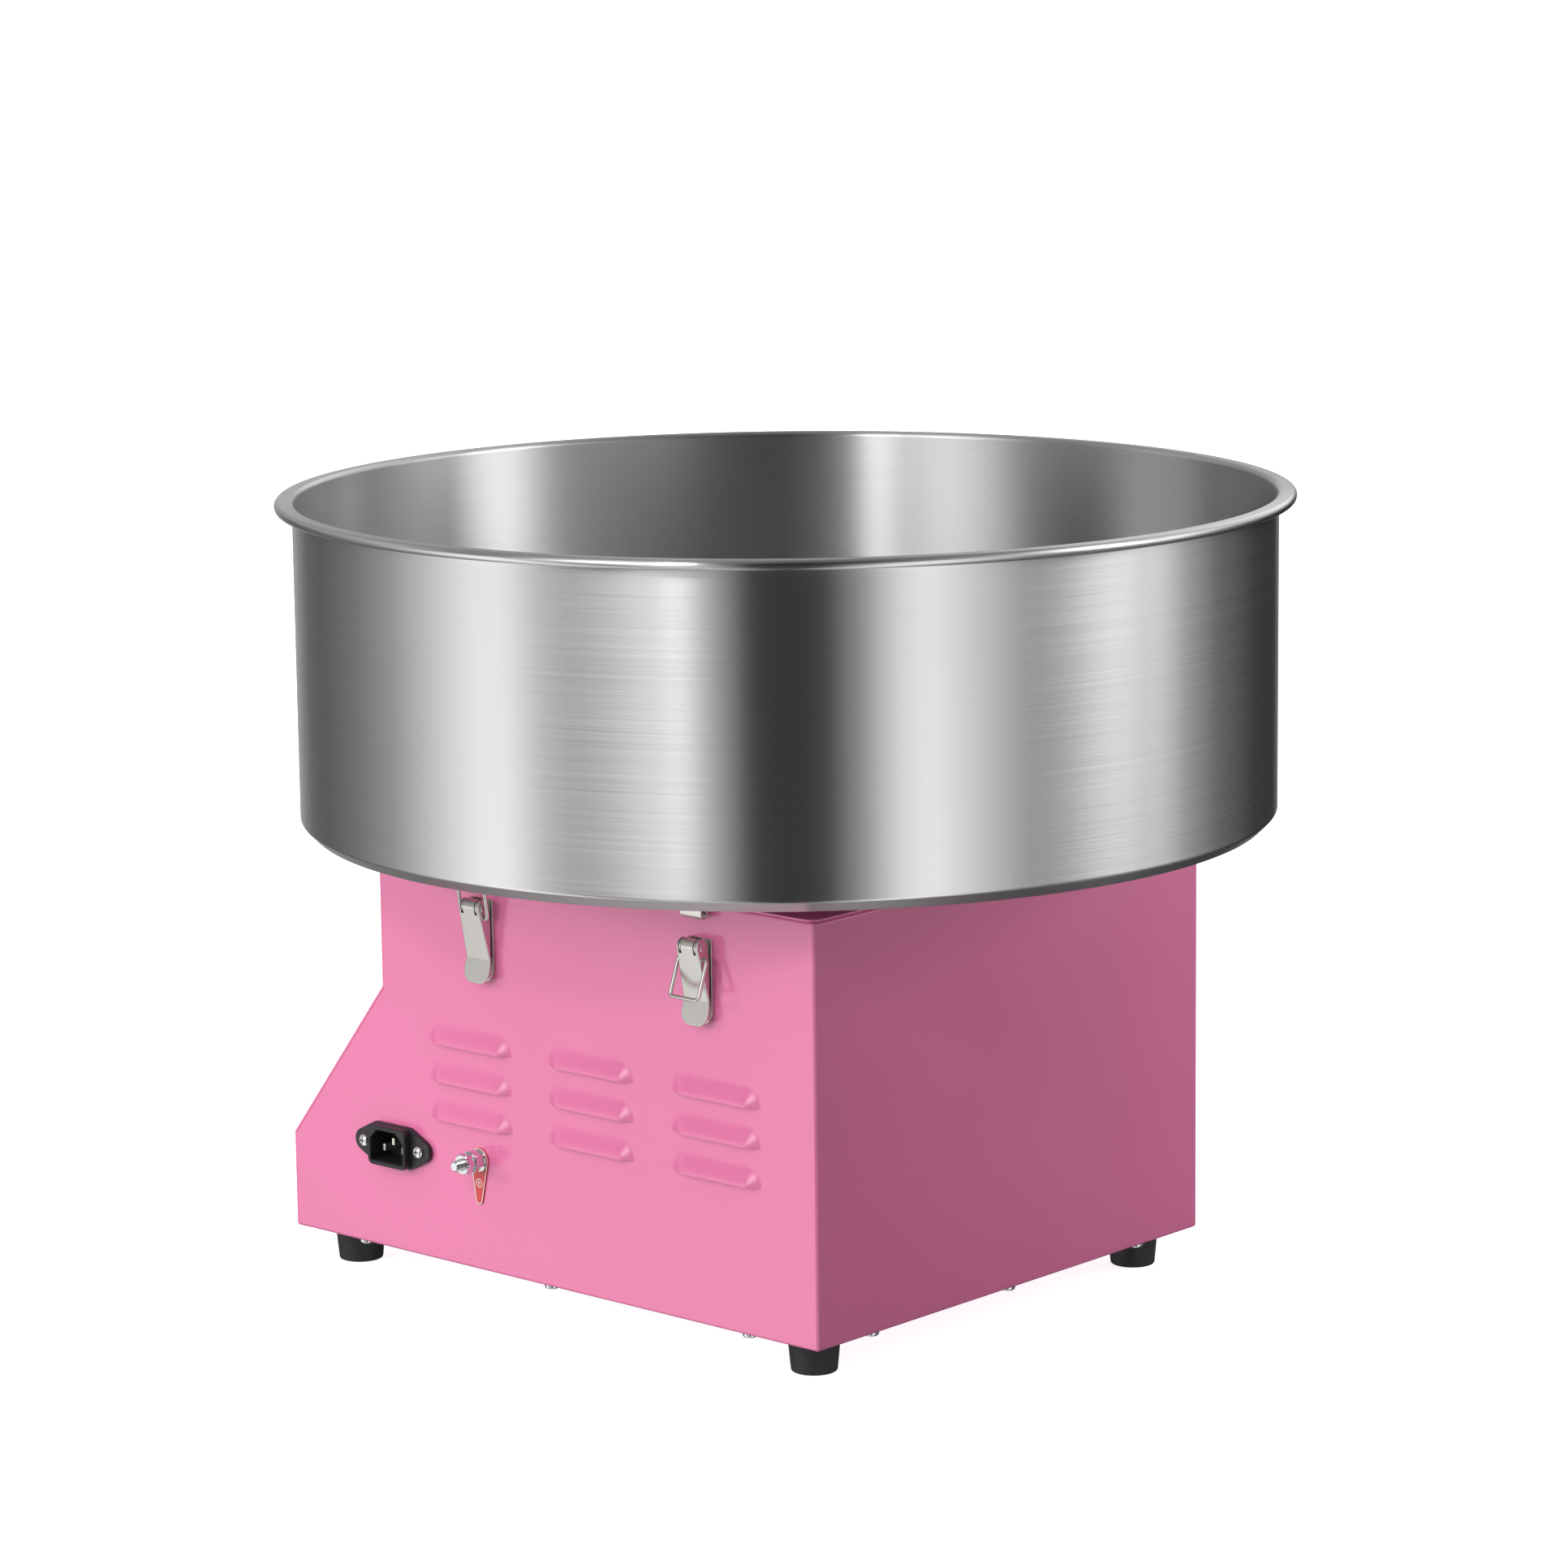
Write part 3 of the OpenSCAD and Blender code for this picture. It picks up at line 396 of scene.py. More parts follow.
def cut(shape, tool):
    """The shape with a closed tool taken out of it."""
    body, knife = to_object("cut_body", shape), to_object("cut_tool", tool)
    settle(body, [("BOOLEAN", dict(object=knife, operation="DIFFERENCE", solver="EXACT"))])
    result = Shape([v.co / MM for v in body.data.vertices], [p.vertices for p in body.data.polygons])
    for piece in (body, knife):
        bpy.data.objects.remove(piece)
    return result


# Materials ---------------------------------------------------

NOISE_SPAN = (0.3, 0.7)  # most of a noise's values lie between these


def new_node(tree, kind, values=None, links=None, **settings):
    node = tree.nodes.new("ShaderNode" + kind)
    for key, value in settings.items():
        setattr(node, key, value)
    for key, value in (values or {}).items():
        node.inputs[key].default_value = value
    for key, source in (links or {}).items():
        tree.links.new(source, node.inputs[key])
    return node


class Nodes:
    """A material's node tree, with short calls for the nodes used here."""

    def __init__(self, name, **surface):
        self.material = bpy.data.materials.new(name)
        self.material.use_nodes = True
        self.tree = self.material.node_tree
        self.bsdf = self.tree.nodes["Principled BSDF"]
        for key, value in surface.items():
            self.bsdf.inputs[key.replace("_", " ")].default_value = value
        coordinates = self.node("TexCoord").outputs
        self.place, self.facing = coordinates["Object"], coordinates["Normal"]

    def node(self, kind, values=None, links=None, **settings):
        return new_node(self.tree, kind, values, links, **settings)

    def maths(self, operation, a, b):
        return self.node("Math", links={0: a, 1: b}, operation=operation).outputs[0]

    def noise(self, scale, detail=3.0, stretch=(1, 1, 1), vector=None):
        spread = self.node("Mapping", {"Scale": stretch}, {"Vector": vector or self.place}).outputs["Vector"]
        return self.node("TexNoise", {"Scale": scale, "Detail": detail}, {"Vector": spread}).outputs["Fac"]

    def between(self, source, low, high):
        """The source's middle values spread from low to high."""
        values = {"From Min": NOISE_SPAN[0], "From Max": NOISE_SPAN[1], "To Min": low, "To Max": high}
        return self.node("MapRange", values, {"Value": source}).outputs["Result"]

    def colours(self, source, low, high):
        ramp = self.node("ValToRGB", links={"Fac": source})
        for element, position, colour in zip(ramp.color_ramp.elements, NOISE_SPAN, (low, high)):
            element.position = position
            element.color = (*colour, 1)
        return ramp.outputs["Color"]

    def mixed(self, a, b, part):
        return self.node("Mix", {"Factor": part}, {"A": a, "B": b}).outputs["Result"]

    def bump(self, height, strength, distance):
        values = {"Strength": strength, "Distance": distance * MM}
        return self.node("Bump", values, {"Height": height}).outputs[0]

    def set(self, **sources):
        for key, source in sources.items():
            self.tree.links.new(source, self.bsdf.inputs[key.replace("_", " ")])
        return self.material


def shade(colour, factor):
    return tuple(min(1.0, c * factor) for c in colour)


def paint(name, colour, roughness, peel=0.012):
    """Sprayed coat: even colour, a faint orange peel and slight changes of gloss."""
    m = Nodes(name, Coat_Weight=0.45, Coat_Roughness=0.1, Specular_IOR_Level=0.65)
    return m.set(Base_Color=m.colours(m.noise(9, 2), shade(colour, 0.975), shade(colour, 1.025)),
                 Roughness=m.between(m.noise(6, 2), roughness - 0.015, roughness + 0.015),
                 Normal=m.bump(m.noise(420, 2), 0.1, peel))


def spun(name, colour, roughness, lines=2200, turning=1.0, contrast=0.035, inside=0.0):
    """Steel with fine brush lines that run round the Z axis.
    inside is how much rougher the faces that look towards the axis are."""
    m = Nodes(name, Metallic=1.0, Anisotropic=turning, Anisotropic_Rotation=0.25)
    x, y, z = m.node("SeparateXYZ", links={"Vector": m.place}).outputs
    nx, ny, _ = m.node("SeparateXYZ", links={"Vector": m.facing}).outputs
    radius = m.node("Math", links={0: m.maths("ADD", m.maths("MULTIPLY", x, x), m.maths("MULTIPLY", y, y))},
                    operation="SQRT").outputs[0]
    outward = m.maths("ADD", m.maths("MULTIPLY", x, nx), m.maths("MULTIPLY", y, ny))
    extra = m.node("MapRange", {"From Min": -0.02, "From Max": 0.0, "To Min": inside, "To Max": 0.0},
                   {"Value": outward}).outputs["Result"]
    across = m.maths("SUBTRACT", z, radius)
    way = m.node("CombineXYZ", links={"X": x, "Y": y, "Z": across}).outputs[0]
    fine = m.noise(1.0, 2, (6, 6, lines), way)
    broad = m.noise(1.0, 3, (2, 2, lines / 5), way)
    streaks = m.mixed(fine, broad, 0.25)
    tone = m.mixed(streaks, m.noise(5.0, 4, (1, 1, 2.2)), 0.15)
    tangent = m.node("Tangent", direction_type="RADIAL", axis="Z").outputs[0]
    return m.set(Base_Color=m.colours(tone, shade(colour, 1 - contrast), shade(colour, 1 + contrast)),
                 Roughness=m.maths("ADD", m.between(streaks, roughness - 0.02, roughness + 0.02), extra),
                 Normal=m.bump(fine, 0.06, 0.0006), Tangent=tangent)


def metal(name, colour, roughness, grain=900, depth=0.004, stain=0.06, uneven=0.06):
    """Plated or turned metal with fine grain and faint stains."""
    m = Nodes(name, Metallic=1.0)
    return m.set(Base_Color=m.colours(m.noise(60, 4), shade(colour, 1 - stain), shade(colour, 1 + stain)),
                 Roughness=m.between(m.noise(140, 4), roughness - uneven, roughness + uneven),
                 Normal=m.bump(m.noise(grain, 3), 0.1, depth))


def moulded(name, colour, roughness, grain=1400, depth=0.012):
    """Moulded plastic or rubber with a fine grain."""
    m = Nodes(name)
    return m.set(Base_Color=m.colours(m.noise(35, 3), shade(colour, 0.85), shade(colour, 1.2)),
                 Roughness=m.between(m.noise(90, 3), roughness - 0.05, roughness + 0.07),
                 Normal=m.bump(m.noise(grain, 2), 0.3, depth))


def glass(name):
    m = Nodes(name, Transmission_Weight=1.0, IOR=1.49)
    return m.set(Base_Color=m.colours(m.noise(20, 2), (0.95, 0.97, 0.98), (0.99, 1.0, 1.0)),
                 Roughness=m.between(m.noise(40, 3), 0.01, 0.05))


FINISH = {
    "case_paint": paint("pink_powder_coat", (0.80, 0.188, 0.39), 0.22),
    "bowl_steel": spun("brushed_bowl_steel", (0.64, 0.636, 0.63), 0.24, inside=0.08),
    "stainless": spun("spun_stainless", (0.66, 0.655, 0.645), 0.3),
    "latch_nickel": metal("satin_nickel", (0.70, 0.68, 0.64), 0.3, 2600, 0.0008, 0.012, 0.012),
    "zinc_plate": metal("bright_zinc", (0.78, 0.79, 0.79), 0.2, 1800, 0.0015, 0.03, 0.03),
    "rubber": moulded("moulded_rubber", (0.018, 0.018, 0.02), 0.62, 1100, 0.02),
    "black_plastic": moulded("black_plastic", (0.016, 0.016, 0.018), 0.42),
    "gloss_black": moulded("gloss_black_plastic", (0.014, 0.014, 0.016), 0.2, 600, 0.004),
    "brass": metal("plated_pins", (0.78, 0.75, 0.68), 0.26),
    "tag_red": paint("red_enamel", (0.6, 0.025, 0.02), 0.3),
    "lens_clear": glass("clear_lens"),
    "dial_white": moulded("white_print", (0.78, 0.78, 0.75), 0.5, 800, 0.003),
    "needle_black": moulded("black_ink", (0.012, 0.012, 0.012), 0.4, 800, 0.003),
    "rocker_red": moulded("red_rocker", (0.55, 0.02, 0.015), 0.2, 500, 0.004),
    "rocker_green": moulded("green_rocker", (0.02, 0.3, 0.07), 0.2, 500, 0.004),
    "motor_paint": paint("motor_black", (0.03, 0.03, 0.034), 0.4),
    "cast_aluminium": spun("spun_aluminium", (0.78, 0.78, 0.79), 0.34, 1500),
    "ferrite": moulded("ferrite", (0.05, 0.05, 0.052), 0.6),
    "rotor_copper": metal("rotor_windings", (0.72, 0.38, 0.22), 0.4),
    "phenolic": moulded("phenolic_brown", (0.16, 0.07, 0.03), 0.4),
    "carbon": moulded("carbon_block", (0.02, 0.02, 0.022), 0.55),
    "element_steel": metal("tinted_element", (0.34, 0.27, 0.23), 0.42, 500, 0.01, 0.2),
    "white_ceramic": moulded("bare_ceramic", (0.75, 0.73, 0.68), 0.6, 500, 0.01),
}

for entry in frame["record"]["subparts"]:
    mesh = frame["nodes"][entry["node"]].data
    mesh.materials.clear()
    mesh.materials.append(FINISH[entry["material_slot"]])


# Fasteners ---------------------------------------------------

def pan_head(r, h, shank_r, length):
    """A cross-recessed pan head whose underside is at z = 0, with its shank below."""
    crown = [(r, 0), (r, 0.3 * h)] + arc((r - 0.7 * h, 0.3 * h), 0.7 * h, 15, 75, 4)
    body = [(0, -length), (0.75 * shank_r, -length), (shank_r, 0.3 * shank_r - length), (shank_r, 0)]
    screw = lathe(body + crown + [(0.4 * r, h), (0, h)], 32)
    for w, d in ((1.1 * r, 0.3 * r), (0.3 * r, 1.1 * r)):
        screw = cut(screw, plate(rectangle(w, d), 0.45 * h, 1.5 * h, 0.01))
    return screw


def thread(r, pitch, z0, z1, sides=28):
    """A bolt's threaded end with a chamfered tip."""
    root = r - 0.6 * pitch
    rows = []
    steps = round((z1 - z0) / pitch * 8)
    for k in range(steps + 1):
        z = z0 + (z1 - z0) * k / steps
        row = []
        for i in range(sides):
            a = 2 * pi * i / sides
            wave = abs(((z / pitch - a / (2 * pi)) % 1) * 2 - 1)
            reach = min(root + (r - root) * wave, r - 0.9 * pitch + (z1 - z))
            row.append((reach * cos(a), reach * sin(a), z))
        rows.append(row)
    return loft(rows, caps=True)


def hex_nut(across, bore_r, z0, z1, steps=96):
    """A nut with chamfered corners and a countersunk bore."""
    def ring(limit, z):
        points = []
        for i in range(steps):
            a = 2 * pi * i / steps
            flat = across / 2 / cos((a + pi / 6) % (pi / 3) - pi / 6)
            reach = min(flat, limit)
            points.append((reach * cos(a), reach * sin(a), z))
        return points
    corner = across / 2 / cos(pi / 6)
    face = across / 2 * 0.96
    drop = (corner - face) * tan(radians(30))
    outside = [ring(face, z0), ring(corner, z0 + drop), ring(corner, z1 - drop), ring(face, z1)]
    inside = [ring(bore_r * 1.12, z1), ring(bore_r, z1 - 0.12 * bore_r),
              ring(bore_r, z0 + 0.12 * bore_r), ring(bore_r * 1.12, z0)]
    return loft(outside + inside + outside[:1])


def washer(r, bore_r, z0, z1):
    edge = 0.15 * (z1 - z0)
    profile = [(bore_r, z0), (r - edge, z0), (r, z0 + edge), (r, z1 - edge), (r - edge, z1), (bore_r, z1)]
    return lathe(profile, 64, closed=True)


# Case --------------------------------------------------------

FOLD = quarter(BEND, FOLD_STEPS)


def louvre(y, z):
    """One louvre and the outline of the wall round it; the wall is at a height of 0."""
    half, top = LOUVRE_HALF + 5, 13  # the patch of wall that this mesh takes up
    columns, lines = 96, 18
    us = [-half + 2 * half * i / columns for i in range(columns + 1)]
    vs = [top * (k / lines) ** 1.2 for k in range(lines + 1)]

    def height(u, v):
        beyond = max(abs(u) - (LOUVRE_HALF - 0.75 * LOUVRE_FADE[0]), 0)
        part = min(hypot(beyond / LOUVRE_FADE[0], v / LOUVRE_FADE[1]), 1)
        return LOUVRE_PROUD * (0.5 + 0.5 * cos(pi * part))
    rows = [[(y + u, z + v, height(u, v)) for u in us] for v in vs]
    outline = [(y + u, z) for u in us] + [(y + half, z + v) for v in vs[1:]]
    outline += [(y + u, z + top) for u in us[-2::-1]] + [(y - half, z + v) for v in vs[-2:0:-1]]
    return grid(rows), outline


def side_wall(cutouts):
    """The outer face of a side wall, drawn with x to the rear, y up and z out of the wall."""
    front = inset(inset(FRONT_PATH, -SHEET, closed=False), -BEND, closed=False)
    low, high = CASE_LOW + BEND, CASE_TOP - BEND
    outline = [(front[0][0], low), (REAR - BEND, low), (REAR - BEND, high)]
    outline += [(front[3][0], high), front[2], front[1]]
    louvres = [louvre(y, z) for y in LOUVRE_Y for z in LOUVRE_Z]
    wall = fill(outline, [hole for _, hole in louvres] + cutouts)
    return joined(wall, *[shape for shape, _ in louvres])


def side_wrap():
    """Both sides and the back, folded from one sheet, with flanges along every free edge."""
    def ring(d, z, front):
        half, rear = HALF_W - d, REAR - d
        corners = [(half, front + d), (half, rear), (-half, rear), (-half, front + d)]
        bent = rounded(corners, max(BEND - d, 0), FOLD_STEPS, closed=False)
        return [(x, y, z) for x, y in bent]

    lower = [(TOP_FLANGE_D, CASE_LOW)] + [(d, CASE_LOW + BEND - h) for d, h in FOLD[::-1]]
    upper = [(d, CASE_TOP - BEND + h) for d, h in FOLD] + [(TOP_FLANGE_D, CASE_TOP)]
    wrap = grid([ring(d, z, FRONT + SHEET) for d, z in lower])
    wrap.add(grid([ring(d, z, SHEET - REAR) for d, z in upper]))
    wrap.add(grid([ring(0, z, FRONT)[1:-1] for z in (CASE_LOW + BEND, CASE_TOP - BEND)]))
    edge = inset(FRONT_PATH, -SHEET, closed=False)
    rows = []
    for d, h in [(BEND, 0)] + [(d, BEND - h) for d, h in FOLD[::-1]] + [(0, TOP_FLANGE_D)]:
        path = inset(edge, -d, closed=False)
        path[0] = (path[0][0], CASE_LOW + d)
        path[-1] = (path[-1][0], CASE_TOP - d)
        rows.append([(y, z, -h) for y, z in path])
    flanges = grid(rows)
    right = joined(side_wall([rectangle(*INLET_HOLE, centre=INLET)]), flanges).moved(on_right(0, 0))
    left = mirrored(joined(side_wall([]), flanges).moved(on_right(0, 0)))
    return joined(wrap, right, left)


def front_panel():
    """The folded front, with its cut-outs for the two switches."""
    half = HALF_W - SHEET
    folds = rounded(FRONT_PATH, BEND, FOLD_STEPS, closed=False)
    path = [(FRONT + TOP_FLANGE_D, CASE_LOW)]
    path += arc((FRONT + BEND, CASE_LOW + BEND), BEND, 270, 180, FOLD_STEPS)
    path += folds[1:-1] + arc((BEND - REAR, CASE_TOP - BEND), BEND, 180, 90, FOLD_STEPS)
    path += [(TOP_FLANGE_D - REAR, CASE_TOP)]
    slope = 2 * (FOLD_STEPS + 1)  # the last row of the fold below the slope
    rows = [[(x, y, z) for x in (-half, half)] for y, z in path]
    skin = joined(grid(rows[:slope + 1]), grid(rows[slope + 1:]))
    ends = [on_slope().inverted() @ Vector((0, y, z)) for y, z in path[slope:slope + 2]]
    face = [(-half, ends[0].y), (half, ends[0].y), (half, ends[1].y), (-half, ends[1].y)]
    holes = [rectangle(*SWITCH_HOLE, centre=(x, 0)) for x in SWITCH_X.values()]
    skin.add(fill(face, holes), on_slope())
    return skin


make("side_wrap_sheet", side_wrap(), "case", "case_paint", "side_wrap", thick=SHEET)
make("front_panel_sheet", front_panel(), "case", "case_paint", "front_panel", thick=SHEET)
shaft_hole = circle(48, 96)
cover = plate(rectangle(2 * HALF_W, 2 * REAR, 6.5, 8), CASE_TOP, PLATE_TOP, 0.4, [shaft_hole])
make("top_plate_sheet", cover, "case", "case_paint", "top_plate")

FOOT_TOP = 19.5
rubber_foot = [(2.6, 8), (2.6, FOOT_TOP), (12.7, FOOT_TOP)] + arc((12.7, FOOT_TOP - 0.6), 0.6, 90, 0, 3)
rubber_foot += [(11.7, 1.6)] + arc((10.6, 1.0), 1.0, 0, -90, 4) + [(7, 0)]
rubber_foot += arc((6.6, 0.6), 0.6, 270, 180, 3) + [(6, 8)]
FEET = [at(x, y) for x in (-126, 126) for y in (-196, 126)]
make("rubber_feet", copies(lathe(rubber_foot, 64, closed=True), FEET), "case", "rubber", "feet")

under = turn(180, "X")
to_front = turn(90, "X")
CASE_SCREWS = [at(s * (HALF_W - 5), y, CASE_LOW) @ under for s in (-1, 1) for y in (-171, -35, 101)]
CASE_SCREWS += [at(x, y, CASE_LOW) @ under for x in (-105, 0, 105) for y in (FRONT + 6, REAR - 5)]
CASE_SCREWS += [at(s * (HALF_W - 6), y, z) @ to_front for s in (-1, 1)
                for y, z in ((FRONT, 32), (FRONT, 56), (-REAR, 172), (-REAR, 219))]
CORNERS = [(s, j) for s in (-1, 1) for j in (-1, 1)]
CASE_SCREWS += [at(s * x, j * y, PLATE_TOP) for s, j in CORNERS for x, y in ((142, 60), (60, 142))]
screw_4mm = pan_head(3.9, 2.2, 2, 7)
make("case_fixing_screws", copies(screw_4mm, CASE_SCREWS), "case", "zinc_plate", "case_screws")

GUARD_T = 0.8
GUARD_SCREWS = [turn(a, "Z") @ at(83.5, 0, PLATE_TOP + GUARD_T) for a in (0, 120, 240)]
make("guard_fixing_screws", copies(screw_4mm, GUARD_SCREWS), "case", "zinc_plate", "guard_screws")
guard = rounded([(79, PLATE_TOP), (89, PLATE_TOP), (89, 255), (87, 257)], [0, 1.4, 1, 0], 4, closed=False)
collar = lathe(sheet_outline(guard, GUARD_T), 192, closed=True)
make("guard_collar", collar, "case", "stainless", "guard_ring")


# Mains inlet and earth stud ----------------------------------

inlet = on_right(*INLET)
flange = [(-13, -11), (13, -11)] + arc((21.5, 0), 6, -62, 62, 12) + [(13, 11), (-13, 11)]
flange += arc((-21.5, 0), 6, 118, 242, 12)
cavity = rounded([(-11.9, -8.1), (11.9, -8.1), (11.9, 3.1), (6.9, 8.1), (-6.9, 8.1), (-11.9, 3.1)], 0.5, 3)
screw_holes = [circle(1.7, 24, (s * INLET_SCREW, 0)) for s in (-1, 1)]
shell = plate(flange, 0, INLET_FLANGE, 0.5, [rectangle(24, 17, 1)] + screw_holes)
shell.add(plate(rectangle(27.6, 21.2, 3), -16, 7.5, 0.8, [cavity]))
shell.add(plate(rectangle(25, 18, 1), -16, -8, 0.1))
make("inlet_socket", shell.moved(inlet), "case", "black_plastic", "inlet_body")
PINS = [inlet @ at(x, y) for x, y in ((-7, -2), (0, 2), (7, -2))]
blade = plate(rectangle(2, 4, 0.4, 3), -24, 2, 0.35)
make("inlet_blades", copies(blade, PINS), "case", "brass", "inlet_pins")
fixing = [inlet @ at(s * INLET_SCREW, 0, INLET_FLANGE) for s in (-1, 1)]
inlet_set = copies(pan_head(3.3, 2.2, 1.6, 8), fixing)
inlet_set.add(copies(hex_nut(5.5, 1.62, -6.5, -4), fixing))
make("inlet_fixings", inlet_set, "case", "zinc_plate", "inlet_screws")

earth = on_right(*EARTH)
stud = thread(3, 1.0, -1, 18.9).add(hex_nut(10, 2.9, -5, -1))
make("earth_bolt", stud.moved(earth), "case", "zinc_plate", "earth_stud")
nuts = joined(washer(6, 2.9, 0.8, 2.0), washer(6, 2.9, 7.5, 8.5))
nuts.add(hex_nut(10, 2.9, 2.1, 7.0), turn(9, "Z")).add(hex_nut(10, 2.9, 8.6, 13.5), turn(31, "Z"))
make("earth_fixings", nuts.moved(earth), "case", "zinc_plate", "earth_nuts")
tag = arc((0, 0), 6.4, -8, 190, 24) + arc((-0.6, -21), 2.6, 190, 352, 12)
make("earth_label", plate(tag, 0, 0.8, 0.2, [circle(2.7, 32)]).moved(earth), "case", "tag_red", "earth_tag")


def band(loop, width, z0, z1):
    """A printed or raised line that follows the inside of a closed outline."""
    return plate(loop, z0, z1, 0.02, [inset(loop, width)])


print_low, print_high = 0.79, 0.86  # print stands just proud of the tag's face at 0.8
border = band(inset(tag, 0.25), 0.55, print_low, print_high)
mark = at(-0.35, -12.2)
border.add(band(circle(2.3, 40), 0.4, print_low, print_high), mark)
for y, w in ((0.35, 2.6), (-0.45, 1.7), (-1.2, 0.8)):
    border.add(plate(rectangle(w, 0.35), print_low, print_high, 0.02), mark @ at(0, y))
border.add(plate(rectangle(0.35, 1.4), print_low, print_high, 0.02), mark @ at(0, 1.1))
make("earth_label_print", border.moved(earth), "case", "dial_white")


# Latches -----------------------------------------------------

LEVER_T = 0.9  # thickness of a lever's sheet
LEVER_BEND = (4.2, 183.8)  # distance from the wall and height where the finger tab starts
LEVER_TIP = (6.8, 171.5)
TAB_HALF = 8.7  # half the width of the finger tab
CURL_R = 3.9  # outer radius of the lever round its pin
CHANNEL_HALF = 7.5  # half the width of the channel before it is narrowed
EAR_Y = 4.8  # from a latch's middle to the middle of each ear
PIN_FOOT = (PIN[0] - 0.2, PIN[1] - 3.8)
UPRIGHT = Matrix(((0, 0, 1, 0), (1, 0, 0, 0), (0, 1, 0, 0), (0, 0, 0, 1)))  # x to y, y to z, z to x


def narrowed(v):
    """Takes a latch's channel in from 16.8 mm wide at its bend to 13.8 mm at its pin."""
    part = min(max((v.z - LEVER_BEND[1]) / (PIN[1] - LEVER_BEND[1]), 0), 1.15)
    return Vector((v.x, v.y * (1.12 - 0.2 * part), v.z))


def lever():
    """A toggle lever pressed from one sheet: a channel over the pin, and a finger tab below it."""
    curl = arc(PIN, CURL_R, 125, -12, 14)
    back = [(3.3, LEVER_BEND[1]), (2.0, PIN[1] - 8), (PIN[0] - CURL_R, PIN[1])]
    outline = curl + [LEVER_BEND] + back + arc(PIN, CURL_R, 180, 130, 4)[:-1]
    body = ends_on_y(plate(outline[::-1], -CHANNEL_HALF, CHANNEL_HALF, 0.55))
    hollow = [(-4, PIN[1] - 0.6), (-4, 182)] + [(LEVER_BEND[0] - LEVER_T, 182)]
    hollow += arc(PIN, CURL_R - LEVER_T, -12, 118, 12) + [(-4, PIN[1] + 2.4)]
    body = cut(body, ends_on_y(plate(hollow, -6.6, 6.6, 0.05))).mapped(narrowed)
    slot = plate(rectangle(14, 1.8), PIN[1] - 3.4, PIN[1] + 6, 0.05)
    for s in (-1, 1):
        body = cut(body, slot.moved(at(6, s * EAR_Y)))
    length = hypot(LEVER_TIP[0] - LEVER_BEND[0], LEVER_TIP[1] - LEVER_BEND[1])
    lean = degrees(atan2(LEVER_TIP[0] - LEVER_BEND[0], LEVER_BEND[1] - LEVER_TIP[1]))
    corners = [(-8.4, 0.8), (-8.4, -0.6), (-TAB_HALF, -2), (-TAB_HALF, -length)]
    corners += [(-x, y) for x, y in corners[::-1]]
    blade = plate(rounded(corners, [0.1, 1, 1, 6.2, 6.2, 1, 1, 0.1], 8), -LEVER_T, 0, 0.25)
    stand = at(LEVER_BEND[0], 0, LEVER_BEND[1]) @ turn(-lean, "Y")
    return joined(body, blade.moved(stand @ UPRIGHT))


def latch_base():
    """Base plate with two ears folded out of it round the pin."""
    low, high = PIN[1] - 39.8, PIN[1] + 3.5
    outline = arc((0, low + 7.5), 7.5, 180, 360, 20) + [(7.5, high), (-7.5, high)]
    base = plate(outline, 0, 1, 0.25).moved(UPRIGHT)
    ear = [(0.4, PIN[1] - 3.8), PIN_FOOT] + arc(PIN, 3.8, -88, 88, 16) + [(0.4, PIN[1] + 3.8)]
    for s in (-1, 1):
        base.add(ends_on_y(plate(ear, s * EAR_Y - 0.5, s * EAR_Y + 0.5, 0.2)))
    return base


def rivets():
    """The pin that a lever turns on, and the rivets that hold its base."""
    end = [(0, 7.95), (1.8, 7.95), (2.1, 7.7), (1.25, 7.4)]
    pin = lathe([(r, -u) for r, u in end] + end[::-1], 32)
    pin = pin.moved(at(PIN[0], 0, PIN[1]) @ turn(90, "X")).mapped(narrowed)
    crown = [(2.6 * cos(radians(a)), 1.0 + 0.8 * sin(radians(a))) for a in (15, 35, 55, 75)]
    dome = lathe([(0, -2.2), (2.6, -2.2), (2.6, 1.0)] + crown + [(0, 1.8)], 32)
    for drop in (32, 13):
        pin.add(dome, at(0, 0, PIN[1] - drop) @ turn(90, "Y"))
    return pin


def bail():
    """Wire loop that points along Z from its pivot at the origin."""
    half, length, bend = 9.3, 20.3, 2.0
    loop = [(5.75, 0), (half, 0), (half, length), (-half, length), (-half, 0), (-5.75, 0)]
    return tube([(0, y, z) for y, z in rounded(loop, bend, 7, closed=False)], 1.0, 16)


def hook():
    """Strip under the bowl that turns up into a J outside the case wall."""
    turn_u, turn_z, r = 4.9, 227.2, 2.5
    strip = BOWL_FLOOR - BOWL_T
    path = rounded([(-12, strip), (turn_u - r, strip), (turn_u - r, turn_z)], [0, 2, 0], 5, closed=False)
    path += arc((turn_u, turn_z), r, 180, 360, 12)[1:] + [(turn_u + r, turn_z + 2.4)]
    return ends_on_y(plate(sheet_outline(path, BOWL_T), -7, 7, 0.2))


